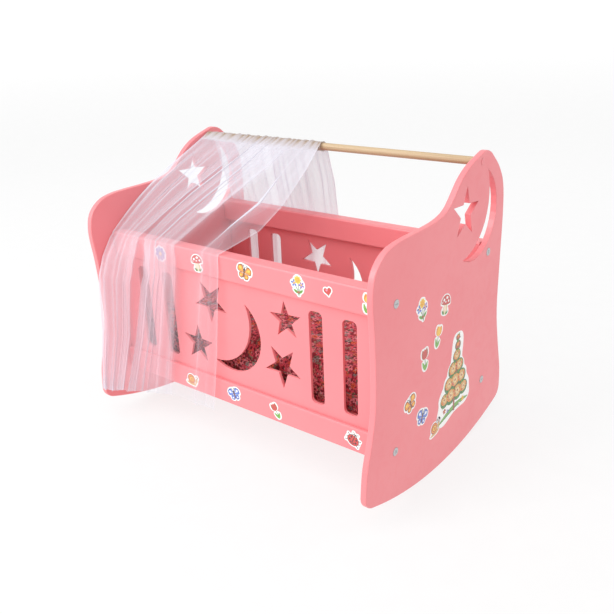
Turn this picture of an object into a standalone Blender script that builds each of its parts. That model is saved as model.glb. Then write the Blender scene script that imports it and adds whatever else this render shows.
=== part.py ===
# Doll cradle: two curved end panels that rock, pierced sides, a floor, a mattress,
# and a rod that carries a gathered tulle canopy.
#
# Sizes are in metres. +X runs from the head end to the foot end, +Y to the back, +Z up.
# The origin lies on the ground, under the middle of the whole cradle.

import math

import bmesh
import bpy
from mathutils import Matrix, Vector

# Driving sizes of the whole
overall_length = 0.468
side_depth = 0.237
side_height = 0.208
side_ground_clearance = 0.0625
touch_gap = 0.0003
cut_overrun = 0.004

# End panels
panel_thickness = 0.008
panel_height = 0.3875
panel_half_depth = 0.1685
panel_edge_round = 0.0012
rocker_radius = 0.470
rocker_flat = 0.010
rocker_middle_y = 0.002
toe_radius = 0.018

# Cut-outs in the end panels
panel_star_radius = 0.0325
panel_moon_radius = 0.058
panel_moon_waist = 0.027

# Rails and boards of the two sides
rail_height = 0.032
rail_thickness = 0.020
rail_edge_round = 0.002
board_thickness = 0.004
board_recess = 0.005
board_groove_depth = 0.006

# Cut-outs in the boards
slot_width = 0.020
slot_height = 0.120
slot_corner_radius = 0.0065
board_star_radius = 0.030
board_moon_radius = 0.0545
board_moon_waist = 0.0235
board_moon_x = -0.0154

# Floor and mattress
floor_thickness = 0.004
mattress_height = 0.050
mattress_crown = 0.006
mattress_end_gap = 0.0015
mattress_side_gap = 0.0015

# Rod
rod_diameter = 0.010

# Screws
side_screw_length = 0.045
side_screw_diameter = 0.005
side_screw_head = 0.010
side_screw_edge = 0.0135
rod_screw_length = 0.028
rod_screw_diameter = 0.0035
rod_screw_head = 0.008
screw_head_depth = 0.003
screw_point_length = 0.003
screw_stands_out = 0.0004

# Tulle canopy
tulle_thickness = 0.001
canopy_rod_width = 0.221
canopy_hem_width = 0.183
canopy_edge_swell = 0.018
canopy_head_gap = 0.002
canopy_hem_height = 0.048
canopy_front_reach = 0.1735
canopy_back_reach = 0.134
canopy_rail_gap = 0.0012
canopy_fold_depth = 0.009
canopy_gather_depth = 0.0012

# Sizes that follow from the driving sizes
outer_x = overall_length / 2
inner_x = outer_x - panel_thickness
inside_length = 2 * (inner_x - touch_gap)
rail_outer_y = side_depth / 2
rail_middle_y = rail_outer_y - rail_thickness / 2
rail_inner_y = rail_outer_y - rail_thickness
board_middle_y = rail_outer_y - board_recess - board_thickness / 2
board_inner_y = board_middle_y - board_thickness / 2
board_height = side_height - 2 * rail_height
side_top_z = side_ground_clearance + side_height
side_middle_z = side_ground_clearance + side_height / 2
floor_z = side_ground_clearance + rail_height + touch_gap
mattress_z = floor_z + floor_thickness + touch_gap
cradle_shift_y = (canopy_front_reach - panel_half_depth) / 2

# Edge of an end panel between its toes, from the back round to the front: shares of the
# panel's half depth and of its height
panel_edge_shares = [
    (0.989, 0.185),
    (0.920, 0.305),
    (0.866, 0.430),
    (0.866, 0.600),
    (0.872, 0.780),
    (0.845, 0.875),
    (0.762, 0.935),
    (0.659, 0.975),
    (0.603, 0.9925),
    (0.531, 1.000),
    (0.459, 0.9925),
    (0.297, 0.968),
    (0.178, 0.937),
    (0.083, 0.897),
    (-0.012, 0.862),
    (-0.148, 0.845),
    (-0.326, 0.839),
    (-0.522, 0.836),
    (-0.644, 0.832),
    (-0.754, 0.820),
    (-0.837, 0.795),
    (-0.884, 0.765),
    (-0.904, 0.722),
    (-0.903, 0.680),
    (-0.887, 0.607),
    (-0.875, 0.490),
    (-0.880, 0.380),
    (-0.920, 0.290),
    (-0.978, 0.200),
]

# Cut-outs of an end panel: centre as shares of the panel's half depth and of its height, and the
# direction of the star's first arm or of the moon's middle in degrees
panel_star_shares = (0.2522, 0.8297, 87.0)
panel_moon_shares = (0.3976, 0.8116, -29.5)

# Rod's middle on the end panels, as shares of the panel's half depth and of its height
panel_rod_shares = (0.4748, 0.9690)

# Slots of a board: middles as shares of half the inside length
board_slot_shares = (-0.780, -0.565, 0.565, 0.780)

# Stars of a board: centre as shares of half the inside length and of half the board's height,
# radius as a share of the board's star radius, and one arm's direction in degrees
board_star_shares = [
    (0.362, 0.529, 0.84, 94.0),
    (0.325, -0.350, 1.00, 126.0),
    (-0.202, 0.491, 1.00, 124.0),
    (-0.338, -0.435, 0.94, 87.0),
]
star_waist_share = 0.40
board_moon_lean = -33.9

# Section of the mattress: how square it is along its length and across its width
mattress_length_squareness = 9
mattress_width_squareness = 7

# Folds of the canopy: how far round the wave each fold starts from an even spacing, how much
# of its depth each loses and how often these come round, and the depth on the slope and where
# the cloth bends over a rail
fold_count = 8
fold_wander_share = 0.22
fold_wander_turns = 1.7
fold_variation_share = 0.25
fold_variation_turns = 2.3
fold_slope_share = 0.42
fold_bend_share = 0.10
fold_growth_power = 0.8

# Rows down the cloth, as shares of the slope from the rod to the rail and of the fall outside it
slope_row_shares = (0, 0.18, 0.42, 0.66, 0.86, 0.97)
fall_row_shares = (0.05, 0.14, 0.28, 0.48, 0.72, 1)

# How the fall stands off the rail: most of it soon below the bend, the rest near the hem, and
# less towards the cloth's free edge. The edge's swell on the slope grows near the edge alone
flare_soon_share = 0.7
flare_soon_length_share = 0.12
flare_edge_power = 1.6
swell_edge_power = 4

# Colours of the pieces: red, green, blue, roughness, metallic
painted_pink = (0.90, 0.33, 0.35, 0.45, 0.0)
bare_beech = (0.74, 0.58, 0.40, 0.55, 0.0)
zinc_steel = (0.62, 0.62, 0.60, 0.35, 1.0)
flowered_cotton = (0.33, 0.05, 0.07, 0.9, 0.0)
white_tulle = (0.93, 0.92, 0.93, 0.8, 0.0)

# Place of the rod between the end panels
rod_y = panel_rod_shares[0] * panel_half_depth
rod_z = panel_rod_shares[1] * panel_height

# Planes in which a flat outline is drawn before it gets its thickness
END_PLANE = Matrix(((0, 0, 1), (1, 0, 0), (0, 1, 0)))
SIDE_PLANE = Matrix(((1, 0, 0), (0, 0, -1), (0, 1, 0)))
FLOOR_PLANE = Matrix.Identity(3)


# Objects, materials and modifiers


def clear_scene():
    for old in list(bpy.data.objects):
        bpy.data.objects.remove(old)


def principled(name, finish):
    red, green, blue, roughness, metallic = finish
    material = bpy.data.materials.new(name)
    material.use_nodes = True
    shader = material.node_tree.nodes["Principled BSDF"]
    shader.inputs["Base Color"].default_value = (red, green, blue, 1)
    shader.inputs["Roughness"].default_value = roughness
    shader.inputs["Metallic"].default_value = metallic
    return material


def mesh_of(name, shape):
    mesh = bpy.data.meshes.new(name)
    shape.to_mesh(mesh)
    shape.free()
    return mesh


def place(name, mesh, location, turn=(0, 0, 0), finish=None):
    """A named object at its place in the cradle. Without a finish it is a cutter."""
    piece = bpy.data.objects.new(name, mesh)
    piece.location = location
    piece.rotation_euler = [math.radians(angle) for angle in turn]
    piece.parent = cradle_middle
    bpy.context.scene.collection.objects.link(piece)
    if finish:
        piece.data.materials.append(principled(name, finish))
    else:
        piece.hide_render = True
        piece.display_type = "WIRE"
    return piece


def cut(piece, cutters):
    for cutter in cutters:
        hole = piece.modifiers.new(cutter.name, "BOOLEAN")
        hole.operation = "DIFFERENCE"
        hole.object = cutter
        hole.use_self = True


def round_edges(piece, width):
    rounding = piece.modifiers.new("rounded edges", "BEVEL")
    rounding.width = width
    rounding.segments = 2
    rounding.limit_method = "ANGLE"
    rounding.angle_limit = math.radians(50)


def shade_round(piece, sharp_angle):
    piece.data.shade_smooth()
    piece.data.set_sharp_from_angle(angle=math.radians(sharp_angle))


# Outlines and solids


def spaced(start, end, steps):
    return [start + (end - start) * step / steps for step in range(steps + 1)]


def smooth_curve(points, steps):
    """Points of a Catmull-Rom curve through the given ones, ends included."""
    padded = [points[0], *points, points[-1]]
    curve = []
    for before, start, end, after in zip(padded, padded[1:], padded[2:], padded[3:]):
        for t in spaced(0, 1, steps)[:-1]:
            curve.append(
                tuple(
                    b * (-t + 2 * t**2 - t**3) / 2
                    + s * (2 - 5 * t**2 + 3 * t**3) / 2
                    + e * (t + 4 * t**2 - 3 * t**3) / 2
                    + a * (t**3 - t**2) / 2
                    for b, s, e, a in zip(before, start, end, after)
                )
            )
    return [*curve, points[-1]]


def arc(centre, radius, start, end, steps):
    """Points of an arc round a centre, from one angle to another, in degrees."""
    turns = [math.radians(angle) for angle in spaced(start, end, steps)]
    return [
        (centre[0] + radius * math.cos(turn), centre[1] + radius * math.sin(turn)) for turn in turns
    ]


def rounded_rectangle(half_width, half_height, radius, steps):
    """The four corners of a rectangle about its middle, each a list of the corner's points."""
    corners = []
    for across, up, start in ((1, 1, 0), (-1, 1, 90), (-1, -1, 180), (1, -1, 270)):
        centre = (across * (half_width - radius), up * (half_height - radius))
        corners.append(arc(centre, radius, start, start + 90, steps))
    return corners


def star_outline(centre, radius, arm_angle):
    points = []
    for corner, angle in enumerate(spaced(arm_angle, arm_angle + 324, 9)):
        reach = radius if corner % 2 == 0 else radius * star_waist_share
        points += arc(centre, reach, angle, angle, 1)[:1]
    return points


def moon_outline(centre, radius, waist, lean):
    """A crescent: half a circle outside, and inside a flatter arc between the same two tips."""
    sag = radius - waist
    inner_radius = (radius**2 + sag**2) / (2 * sag)
    half_angle = math.degrees(math.asin(radius / inner_radius))
    inner_centre_x = -math.sqrt(inner_radius**2 - radius**2)
    outer = arc((0, 0), radius, -90, 90, 18)
    inner = arc((inner_centre_x, 0), inner_radius, half_angle, -half_angle, 12)[1:-1]
    turn = Matrix.Rotation(math.radians(lean), 2)
    return [tuple(turn @ Vector(point) + Vector(centre)) for point in outer + inner]


def add_prism(shape, outline, low, high, plane):
    """A flat outline, anticlockwise in its plane, given a thickness from low to high."""
    bottom = [shape.verts.new(plane @ Vector((a, b, low))) for a, b in outline]
    top = [shape.verts.new(plane @ Vector((a, b, high))) for a, b in outline]
    shape.faces.new(list(reversed(bottom)))
    shape.faces.new(top)
    for index in range(len(outline)):
        shape.faces.new((bottom[index - 1], bottom[index], top[index], top[index - 1]))


def prism_mesh(name, outlines, low, high, plane):
    shape = bmesh.new()
    for outline in outlines:
        add_prism(shape, outline, low, high, plane)
    return mesh_of(name, shape)


def turned_mesh(name, profile, sides):
    """A profile of (radius, height), from low to high, turned round the upright axis."""
    shape = bmesh.new()
    rings = []
    for radius, height in profile:
        count = sides if radius else 1
        turns = spaced(0, math.tau, count)[:-1]
        spokes = [(radius * math.cos(turn), radius * math.sin(turn), height) for turn in turns]
        rings.append([shape.verts.new(spoke) for spoke in spokes])
    for lower, upper in zip(rings, rings[1:]):
        for side in range(sides):
            corners = [lower[side - 1] if len(lower) > 1 else lower[0]]
            corners.append(lower[side] if len(lower) > 1 else lower[0])
            corners.append(upper[side] if len(upper) > 1 else upper[0])
            corners.append(upper[side - 1] if len(upper) > 1 else upper[0])
            shape.faces.new(list(dict.fromkeys(corners)))
    return mesh_of(name, shape)


# Screws and the holes that take them


def screw_profile(length, diameter, head, clearance):
    """A countersunk screw, from its point up to the flat of its head at height zero."""
    shank = diameter / 2 + clearance
    rim = head / 2 + clearance
    top = cut_overrun if clearance else 0
    return [
        (0, -length - clearance),
        (shank, screw_point_length - length - clearance),
        (shank, -screw_head_depth - clearance),
        (rim, -screw_head_depth / 4 - clearance),
        (rim, top),
        (0, top),
    ]


def place_screw(name, sizes, end, y, z):
    """A screw driven in through an end panel, and the cutter of its hole."""
    location = (end * (outer_x + screw_stands_out), y, z)
    turn = (0, end * 90, 0)
    screw_mesh = turned_mesh(name, screw_profile(*sizes, 0), 14)
    place(name, screw_mesh, location, turn, zinc_steel)
    hole_mesh = turned_mesh(name + "_hole", screw_profile(*sizes, touch_gap), 14)
    return place(name + "_hole", hole_mesh, location, turn)


def place_screws():
    """All screws. Returns the cutters of their holes by end, and by end and piece."""
    side_sizes = (side_screw_length, side_screw_diameter, side_screw_head)
    rod_sizes = (rod_screw_length, rod_screw_diameter, rod_screw_head)
    low_z = side_ground_clearance + side_screw_edge
    high_z = side_top_z - side_screw_edge
    holes = {}
    for end, end_name in ends:
        for side, side_name in sides:
            for height_name, z in (("bottom", low_z), ("top", high_z)):
                name = f"{end_name}_{side_name}_{height_name}_screw"
                hole = place_screw(name, side_sizes, end, side * rail_middle_y, z)
                holes[end, side_name + "_" + height_name] = hole
        holes[end, "rod"] = place_screw(f"{end_name}_rod_screw", rod_sizes, end, rod_y, rod_z)
    return holes


# End panels


def half_rocker(reach):
    """The rocking edge from its flat to the toe, and round the toe, in distances from its middle."""
    half_flat = math.asin(rocker_flat / 2 / rocker_radius)
    lean = math.asin((reach - toe_radius) / (rocker_radius - toe_radius))
    middle_z = rocker_radius * math.cos(half_flat)
    toe_span = rocker_radius - toe_radius
    toe_centre = (toe_span * math.sin(lean), middle_z - toe_span * math.cos(lean))
    start = math.degrees(half_flat) - 90
    join = math.degrees(lean) - 90
    rocking = arc((0, middle_z), rocker_radius, start, join, 16)
    return rocking + arc(toe_centre, toe_radius, join, 0, 9)[1:]


def end_panel_outline():
    back = [(rocker_middle_y + y, z) for y, z in half_rocker(panel_half_depth - rocker_middle_y)]
    front = [(rocker_middle_y - y, z) for y, z in half_rocker(panel_half_depth + rocker_middle_y)]
    edge = [(y * panel_half_depth, z * panel_height) for y, z in panel_edge_shares]
    curve = smooth_curve([back[-1], *edge, front[-1]], 4)[1:-1]
    return [*back, *curve, *reversed(front)]


def place_end_panel(name, end, holes):
    low_x = inner_x if end > 0 else -outer_x
    mesh = prism_mesh(name, [end_panel_outline()], 0, panel_thickness, END_PLANE)
    panel = place(name, mesh, (low_x, 0, 0), finish=painted_pink)
    round_edges(panel, panel_edge_round)
    star_y, star_z, star_arm = panel_star_shares
    moon_y, moon_z, moon_lean = panel_moon_shares
    star_centre = (star_y * panel_half_depth, star_z * panel_height)
    moon_centre = (moon_y * panel_half_depth, moon_z * panel_height)
    star = star_outline(star_centre, panel_star_radius, star_arm)
    moon = moon_outline(moon_centre, panel_moon_radius, panel_moon_waist, moon_lean)
    far = panel_thickness + cut_overrun
    cut_out_mesh = prism_mesh(name + "_cut_outs", [star, moon], -cut_overrun, far, END_PLANE)
    cut_outs = place(name + "_cut_outs", cut_out_mesh, (low_x, 0, 0))
    cut(panel, [cut_outs, *holes])


# Rails and boards


def facing(points, side, up):
    """A section drawn for the back bottom rail, turned for another side or upside down."""
    turned = [(side * y, up * z) for y, z in points]
    return turned if side * up > 0 else turned[::-1]


def rail_section():
    """The bottom rail of the back side about its middle, with the groove that the board's edge seats in."""
    groove_inner = board_inner_y - rail_middle_y - touch_gap
    groove_outer = groove_inner + board_thickness + 2 * touch_gap
    groove_top = rail_height / 2
    groove_floor = groove_top - board_groove_depth - touch_gap
    groove = [
        (groove_outer, groove_top),
        (groove_outer, groove_floor),
        (groove_inner, groove_floor),
        (groove_inner, groove_top),
    ]
    corners = rounded_rectangle(rail_thickness / 2, rail_height / 2, rail_edge_round, 2)
    return [*corners[0], *groove, *corners[1], *corners[2], *corners[3]]


def place_rail(name, side, up, holes):
    section = facing(rail_section(), side, up)
    mesh = prism_mesh(name, [section], -inside_length / 2, inside_length / 2, END_PLANE)
    middle_z = side_middle_z - up * (side_height - rail_height) / 2
    rail = place(name, mesh, (0, side * rail_middle_y, middle_z), finish=painted_pink)
    cut(rail, holes)


def board_cut_out_outlines():
    half_slot = (slot_width / 2, slot_height / 2)
    slot = sum(rounded_rectangle(*half_slot, slot_corner_radius, 4), [])
    slot_middles = [share * inside_length / 2 for share in board_slot_shares]
    outlines = [[(middle + a, b) for a, b in slot] for middle in slot_middles]
    for across, up, size, arm_angle in board_star_shares:
        centre = (across * inside_length / 2, up * board_height / 2)
        outlines.append(star_outline(centre, size * board_star_radius, arm_angle))
    moon_centre = (board_moon_x, 0)
    moon = moon_outline(moon_centre, board_moon_radius, board_moon_waist, board_moon_lean)
    return [*outlines, moon]


def place_board(name, side):
    """A flat board, set back from the rails' faces, its long edges in the rails' grooves."""
    location = (0, side * board_middle_y, side_middle_z)
    half_length = inside_length / 2
    half_height = board_height / 2 + board_groove_depth
    half_thickness = board_thickness / 2
    corners = [(-1, -1), (1, -1), (1, 1), (-1, 1)]
    outline = [(a * half_length, b * half_height) for a, b in corners]
    mesh = prism_mesh(name, [outline], -half_thickness, half_thickness, SIDE_PLANE)
    board = place(name, mesh, location, finish=painted_pink)
    reach = half_thickness + cut_overrun
    outlines = board_cut_out_outlines()
    cut_out_mesh = prism_mesh(name + "_cut_outs", outlines, -reach, reach, SIDE_PLANE)
    cut(board, [place(name + "_cut_outs", cut_out_mesh, location)])


# Floor, mattress and rod


def place_floor():
    half_length = inside_length / 2
    half_width = board_inner_y - touch_gap
    corners = [(-1, -1), (1, -1), (1, 1), (-1, 1)]
    outline = [(x * half_length, y * half_width) for x, y in corners]
    mesh = prism_mesh("floor_board", [outline], 0, floor_thickness, FLOOR_PLANE)
    place("floor_board", mesh, (0, 0, floor_z), finish=painted_pink)


def fullness(share, power):
    """How thick a stuffed section is at a share of the way from its middle to its seam."""
    return (1 - abs(share) ** power) ** (1 / power)


def place_mattress():
    """Flat below, crowned on top, its sides drawn in to a seam at half its height."""
    half_length = inner_x - mattress_end_gap
    half_width = rail_inner_y - mattress_side_gap
    half_height = (mattress_height - mattress_crown) / 2
    along = [math.sin(turn) for turn in spaced(-math.pi / 2, math.pi / 2, 26)]
    across = [math.sin(turn) for turn in spaced(-math.pi / 2, math.pi / 2, 18)]
    shape = bmesh.new()
    layers = {-1: [], 1: []}
    for up, layer in layers.items():
        for a in along:
            row = []
            for b in across:
                height = up * half_height
                height *= fullness(a, mattress_length_squareness)
                height *= fullness(b, mattress_width_squareness)
                if up > 0:
                    height += mattress_crown * (1 - a**2) * (1 - b**2)
                row.append(shape.verts.new((a * half_length, b * half_width, height)))
            layer.append(row)
        for near, far in zip(layer, layer[1:]):
            for side in range(len(across) - 1):
                corners = [near[side], far[side], far[side + 1], near[side + 1]]
                shape.faces.new(corners[::up])
    bmesh.ops.remove_doubles(shape, verts=shape.verts, dist=touch_gap / 10)
    mesh = mesh_of("mattress", shape)
    place("mattress", mesh, (0, 0, mattress_z + half_height), finish=flowered_cotton)
    mesh.shade_smooth()


def place_rod(holes):
    radius = rod_diameter / 2
    half_length = inside_length / 2
    profile = [(0, -half_length), (radius, -half_length), (radius, half_length), (0, half_length)]
    mesh = turned_mesh("canopy_rod", profile, 24)
    rod = place("canopy_rod", mesh, (0, rod_y, rod_z), (0, 90, 0), bare_beech)
    shade_round(rod, 40)
    cut(rod, holes)


# Canopy


def fold_wave(share):
    """The canopy's folds across its width: 0 in a valley and 1 on a ridge."""
    wander = fold_wander_share * math.sin(math.tau * fold_wander_turns * share)
    turn = math.tau * (fold_count * share + wander)
    loss = fold_variation_share * (1 - math.cos(math.tau * fold_variation_turns * share)) / 2
    return (1 + math.cos(turn)) / 2 * (1 - loss)


def casing_radius():
    return rod_diameter / 2 + touch_gap + tulle_thickness + canopy_gather_depth


def fall_line(side, reach, share):
    """One line down the cloth, as (along, outward, up, fold depth share, outward normal)."""
    start_radius = casing_radius() + touch_gap
    corner_y = rail_outer_y - rail_edge_round
    corner_z = side_top_z - rail_edge_round
    corner_radius = rail_edge_round + canopy_rail_gap
    rod_out = side * rod_y
    slope = math.atan2(rod_z - corner_z, corner_y - rod_out)
    slope_normal = (math.sin(slope), math.cos(slope))
    top = (rod_out + start_radius * slope_normal[0], rod_z + start_radius * slope_normal[1])
    bend = (corner_y + corner_radius * slope_normal[0], corner_z + corner_radius * slope_normal[1])

    line = []
    for t in slope_row_shares:
        out = top[0] + t * (bend[0] - top[0])
        up = top[1] + t * (bend[1] - top[1])
        depth = fold_bend_share + (fold_slope_share - fold_bend_share) * math.sin(math.pi * t)
        swell = canopy_edge_swell * share**swell_edge_power * math.sin(math.pi * t)
        line.append((canopy_rod_width * share + swell, out, up, depth, slope_normal))
    for angle in spaced(math.pi / 2 - slope, 0, 2):
        normal = (math.cos(angle), math.sin(angle))
        out = corner_y + corner_radius * normal[0]
        up = corner_z + corner_radius * normal[1]
        line.append((canopy_rod_width * share, out, up, fold_bend_share, normal))
    hem_out = reach - tulle_thickness - canopy_fold_depth
    stand_off = hem_out - corner_y - corner_radius
    flare = stand_off * (1 - share) ** flare_edge_power
    for t in fall_row_shares:
        width = canopy_rod_width + (canopy_hem_width - canopy_rod_width) * t
        soon = flare_soon_share * (1 - math.exp(-t / flare_soon_length_share))
        late = (1 - flare_soon_share) * t**2
        out = corner_y + corner_radius + flare * (soon + late)
        up = corner_z + (canopy_hem_height - corner_z) * t
        depth = fold_bend_share + (1 - fold_bend_share) * t**fold_growth_power
        line.append((width * share, out, up, depth, (1, 0)))
    return line


def place_drop(name, side, reach):
    """A sheet of tulle that hangs from the casing, over a side's top rail and down outside it."""
    columns = spaced(0, 1, 5 * fold_count)
    shape = bmesh.new()
    skins = [[], []]
    for share in columns:
        line = fall_line(side, reach, share)
        for skin, lift in zip(skins, (0, tulle_thickness)):
            column = []
            for along, out, up, depth, normal in line:
                push = lift + canopy_fold_depth * depth * fold_wave(share)
                x = along - inner_x + canopy_head_gap
                y = side * (out + push * normal[0])
                column.append(shape.verts.new((x, y, up + push * normal[1])))
            skin.append(column)
    under, over = skins
    rows = len(under[0])
    for left in range(len(columns) - 1):
        for row in range(rows - 1):
            for skin in skins:
                near, far = skin[left], skin[left + 1]
                shape.faces.new((near[row], far[row], far[row + 1]))
                shape.faces.new((near[row], far[row + 1], near[row + 1]))
        for row in (0, rows - 1):
            corners = (under[left][row], under[left + 1][row], over[left + 1][row], over[left][row])
            shape.faces.new(corners)
    for column in (0, len(columns) - 1):
        for row in range(rows - 1):
            corners = (under[column][row], under[column][row + 1])
            corners += (over[column][row + 1], over[column][row])
            shape.faces.new(corners)
    bmesh.ops.recalc_face_normals(shape, faces=shape.faces)
    mesh = mesh_of(name, shape)
    drop = place(name, mesh, (0, 0, 0), finish=white_tulle)
    shade_round(drop, 60)


def place_casing():
    """The sleeve that is gathered on the rod: a smooth bore, and fine gathers outside."""
    bore = rod_diameter / 2 + touch_gap
    crest = casing_radius()
    gathers = 2 * fold_count
    sides = 12
    profile = [(bore, 0)]
    for step, height in enumerate(spaced(0, canopy_rod_width, 2 * gathers)):
        profile.append((crest if step % 2 else crest - canopy_gather_depth, height))
    profile.append((bore, canopy_rod_width))
    shape = bmesh.new()
    rings = []
    for radius, height in profile:
        turns = spaced(0, math.tau, sides)[:-1]
        spokes = [(radius * math.cos(turn), radius * math.sin(turn), height) for turn in turns]
        rings.append([shape.verts.new(spoke) for spoke in spokes])
    for lower, upper in zip(rings, [*rings[1:], rings[0]]):
        for side in range(sides):
            shape.faces.new((lower[side - 1], lower[side], upper[side], upper[side - 1]))
    bmesh.ops.recalc_face_normals(shape, faces=shape.faces)
    mesh = mesh_of("canopy_casing", shape)
    start_x = canopy_head_gap - inner_x
    casing = place("canopy_casing", mesh, (start_x, rod_y, rod_z), (0, 90, 0), white_tulle)
    shade_round(casing, 60)


# The cradle

clear_scene()
cradle_middle = bpy.data.objects.new("cradle_middle", None)
cradle_middle.location = (0, cradle_shift_y, 0)
bpy.context.scene.collection.objects.link(cradle_middle)

ends = ((-1, "head"), (1, "foot"))
sides = ((-1, "front"), (1, "back"))
screw_holes = place_screws()

for end, end_name in ends:
    own_holes = [hole for (at, _), hole in screw_holes.items() if at == end]
    place_end_panel(end_name + "_end_panel", end, own_holes)

for side, side_name in sides:
    for up, height_name in ((1, "bottom"), (-1, "top")):
        rail_name = side_name + "_" + height_name
        rail_holes = [screw_holes[end, rail_name] for end, _ in ends]
        place_rail(rail_name + "_rail", side, up, rail_holes)
    place_board(side_name + "_board", side)

place_floor()
place_mattress()
place_rod([screw_holes[end, "rod"] for end, _ in ends])
place_casing()
place_drop("canopy_front_drop", -1, canopy_front_reach)
place_drop("canopy_back_drop", 1, canopy_back_reach)
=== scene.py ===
# %% [markdown]
# # A doll cradle with a tulle canopy
#
# This lesson dresses a finished model of a doll cradle. The boards, rails, rod and end panels
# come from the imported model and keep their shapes. The lesson paints them, and makes the soft
# and small things anew: screws with a driver's cross, a stuffed mattress in flowered cotton, a
# gathered canopy of tulle, and a set of plain printed stickers.
#
# The frame is the model's own: metres, +X from the head end to the foot end, +Y to the back, +Z up.

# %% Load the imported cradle
import math

import bmesh
import bpy
import numpy as np
from mathutils import Matrix, Vector, noise


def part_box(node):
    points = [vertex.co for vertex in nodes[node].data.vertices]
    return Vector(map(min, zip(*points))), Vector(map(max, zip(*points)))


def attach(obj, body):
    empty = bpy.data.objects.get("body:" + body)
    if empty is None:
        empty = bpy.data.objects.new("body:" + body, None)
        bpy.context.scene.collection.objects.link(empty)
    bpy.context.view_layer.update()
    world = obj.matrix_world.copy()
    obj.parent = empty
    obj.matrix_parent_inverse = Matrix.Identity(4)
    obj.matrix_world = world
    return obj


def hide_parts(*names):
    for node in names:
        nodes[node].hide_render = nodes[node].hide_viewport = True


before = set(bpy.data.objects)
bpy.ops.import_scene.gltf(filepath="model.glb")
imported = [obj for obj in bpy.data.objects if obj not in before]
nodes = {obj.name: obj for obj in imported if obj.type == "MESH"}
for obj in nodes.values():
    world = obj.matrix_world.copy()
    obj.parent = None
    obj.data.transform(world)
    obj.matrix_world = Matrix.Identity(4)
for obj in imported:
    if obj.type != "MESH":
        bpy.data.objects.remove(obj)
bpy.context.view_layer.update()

mm = 0.001
print("pieces in the model:", len(nodes))

# %% [markdown]
# ## The camera
#
# A product photograph is taken from a little above. The place, the lens and the small roll of
# this camera were worked out from points on the cradle, such as panel corners and screws, so
# that a render lies over the picture. A camera can be turned by three angles, but a matrix made
# of its right, up and backward directions is easier to read and to correct.

# %% Place the camera
def set_out(name, data):
    """A new object in the scene, made of a mesh, a lamp or a camera."""
    piece = bpy.data.objects.new(name, data)
    bpy.context.scene.collection.objects.link(piece)
    return piece


def camera_turn(azimuth, elevation, roll):
    """The camera's directions as a matrix. The angles are in degrees."""
    azimuth, elevation, roll = map(math.radians, (azimuth, elevation, roll))
    forward = Vector((-math.sin(azimuth) * math.cos(elevation), math.cos(azimuth) * math.cos(elevation),
                      -math.sin(elevation)))
    level_right = Vector((math.cos(azimuth), math.sin(azimuth), 0))
    level_up = level_right.cross(forward)
    right = math.cos(roll) * level_right + math.sin(roll) * level_up
    up = -math.sin(roll) * level_right + math.cos(roll) * level_up
    return Matrix((right, up, -forward)).transposed()


camera_place = Matrix.Translation((0.6127, -0.7079, 0.5362))
photo_camera = set_out("photo_camera", bpy.data.cameras.new("photo_camera"))
photo_camera.matrix_world = camera_place @ camera_turn(37.865, 21.603, -1.735).to_4x4()
photo_camera.data.lens = 42.52
photo_camera.data.shift_x = -0.0364
photo_camera.data.clip_start = 0.01
bpy.context.scene.camera = photo_camera
bpy.context.scene.view_settings.view_transform = "Standard"
print("camera at", [round(value, 3) for value in photo_camera.location])

# %% [markdown]
# ## Small helpers for materials
#
# A procedural material is a graph of nodes. Writing each link by hand takes many lines, so one
# helper adds a node, sets its properties and joins its inputs: an input given as another node's
# output is linked, and any other value is typed into the socket.

# %% Write node graphs in few lines
def connect(tree, inputs, sockets):
    """Links or sets inputs by name, with underscores for spaces, or by number, such as i0."""
    for name, value in sockets.items():
        key = int(name[1:]) if name[0] == "i" and name[1:].isdigit() else name.replace("_", " ")
        if isinstance(value, bpy.types.NodeSocket):
            tree.links.new(value, inputs[key])
        else:
            inputs[key].default_value = value


def add_node(tree, kind, properties=None, **sockets):
    """A node of a material or group."""
    node = tree.nodes.new("ShaderNode" + kind)
    for name, value in (properties or {}).items():
        setattr(node, name, value)
    connect(tree, node.inputs, sockets)
    return node


def numbered(values):
    """Values for a node's first sockets, by number."""
    return {f"i{number}": value for number, value in enumerate(values)}


def calculate(tree, operation, *values, clamp=False):
    """The result of a Math node."""
    settings = {"operation": operation, "use_clamp": clamp}
    return add_node(tree, "Math", settings, **numbered(values)).outputs[0]


def combine(tree, operation, *values, result="Vector"):
    """The result of a Vector Math node: a vector, or for some operations a "Value"."""
    return add_node(tree, "VectorMath", {"operation": operation}, **numbered(values)).outputs[result]


# %% [markdown]
# A few patterns and steps come back in every material. Each gets a plain name here: soft blotches
# of a noise, a fade between two levels, one colour over another, and a normal bent by a height.

# %% Name the steps that come back
def own_place(tree):
    """The place on the piece in metres, which moves with it."""
    return add_node(tree, "TexCoord").outputs["Object"]


def blotches(tree, place, scale, detail, properties=None, **more):
    """Soft random blotches. The scale says how many lie in a metre, and detail adds finer ones."""
    return add_node(tree, "TexNoise", properties, Vector=place, Scale=scale, Detail=detail, **more).outputs["Fac"]


def fade(tree, value, low, high, to_low=0.0, to_high=1.0):
    """A value that goes smoothly from one level to another while its input goes from low to high."""
    settings = {"interpolation_type": "SMOOTHSTEP"}
    return add_node(tree, "MapRange", settings, Value=value, From_Min=low, From_Max=high,
                    To_Min=to_low, To_Max=to_high).outputs[0]


def blend_colours(tree, mask, under, over):
    """One colour laid over another by a mask."""
    return add_node(tree, "Mix", {"data_type": "RGBA"}, i0=mask, i6=under, i7=over).outputs[2]


def raised(tree, height, strength, distance, **more):
    """The normal of a surface that a height from 0 to 1 raises by a distance."""
    return add_node(tree, "Bump", Strength=strength, Distance=distance, Height=height, **more).outputs[0]


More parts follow.
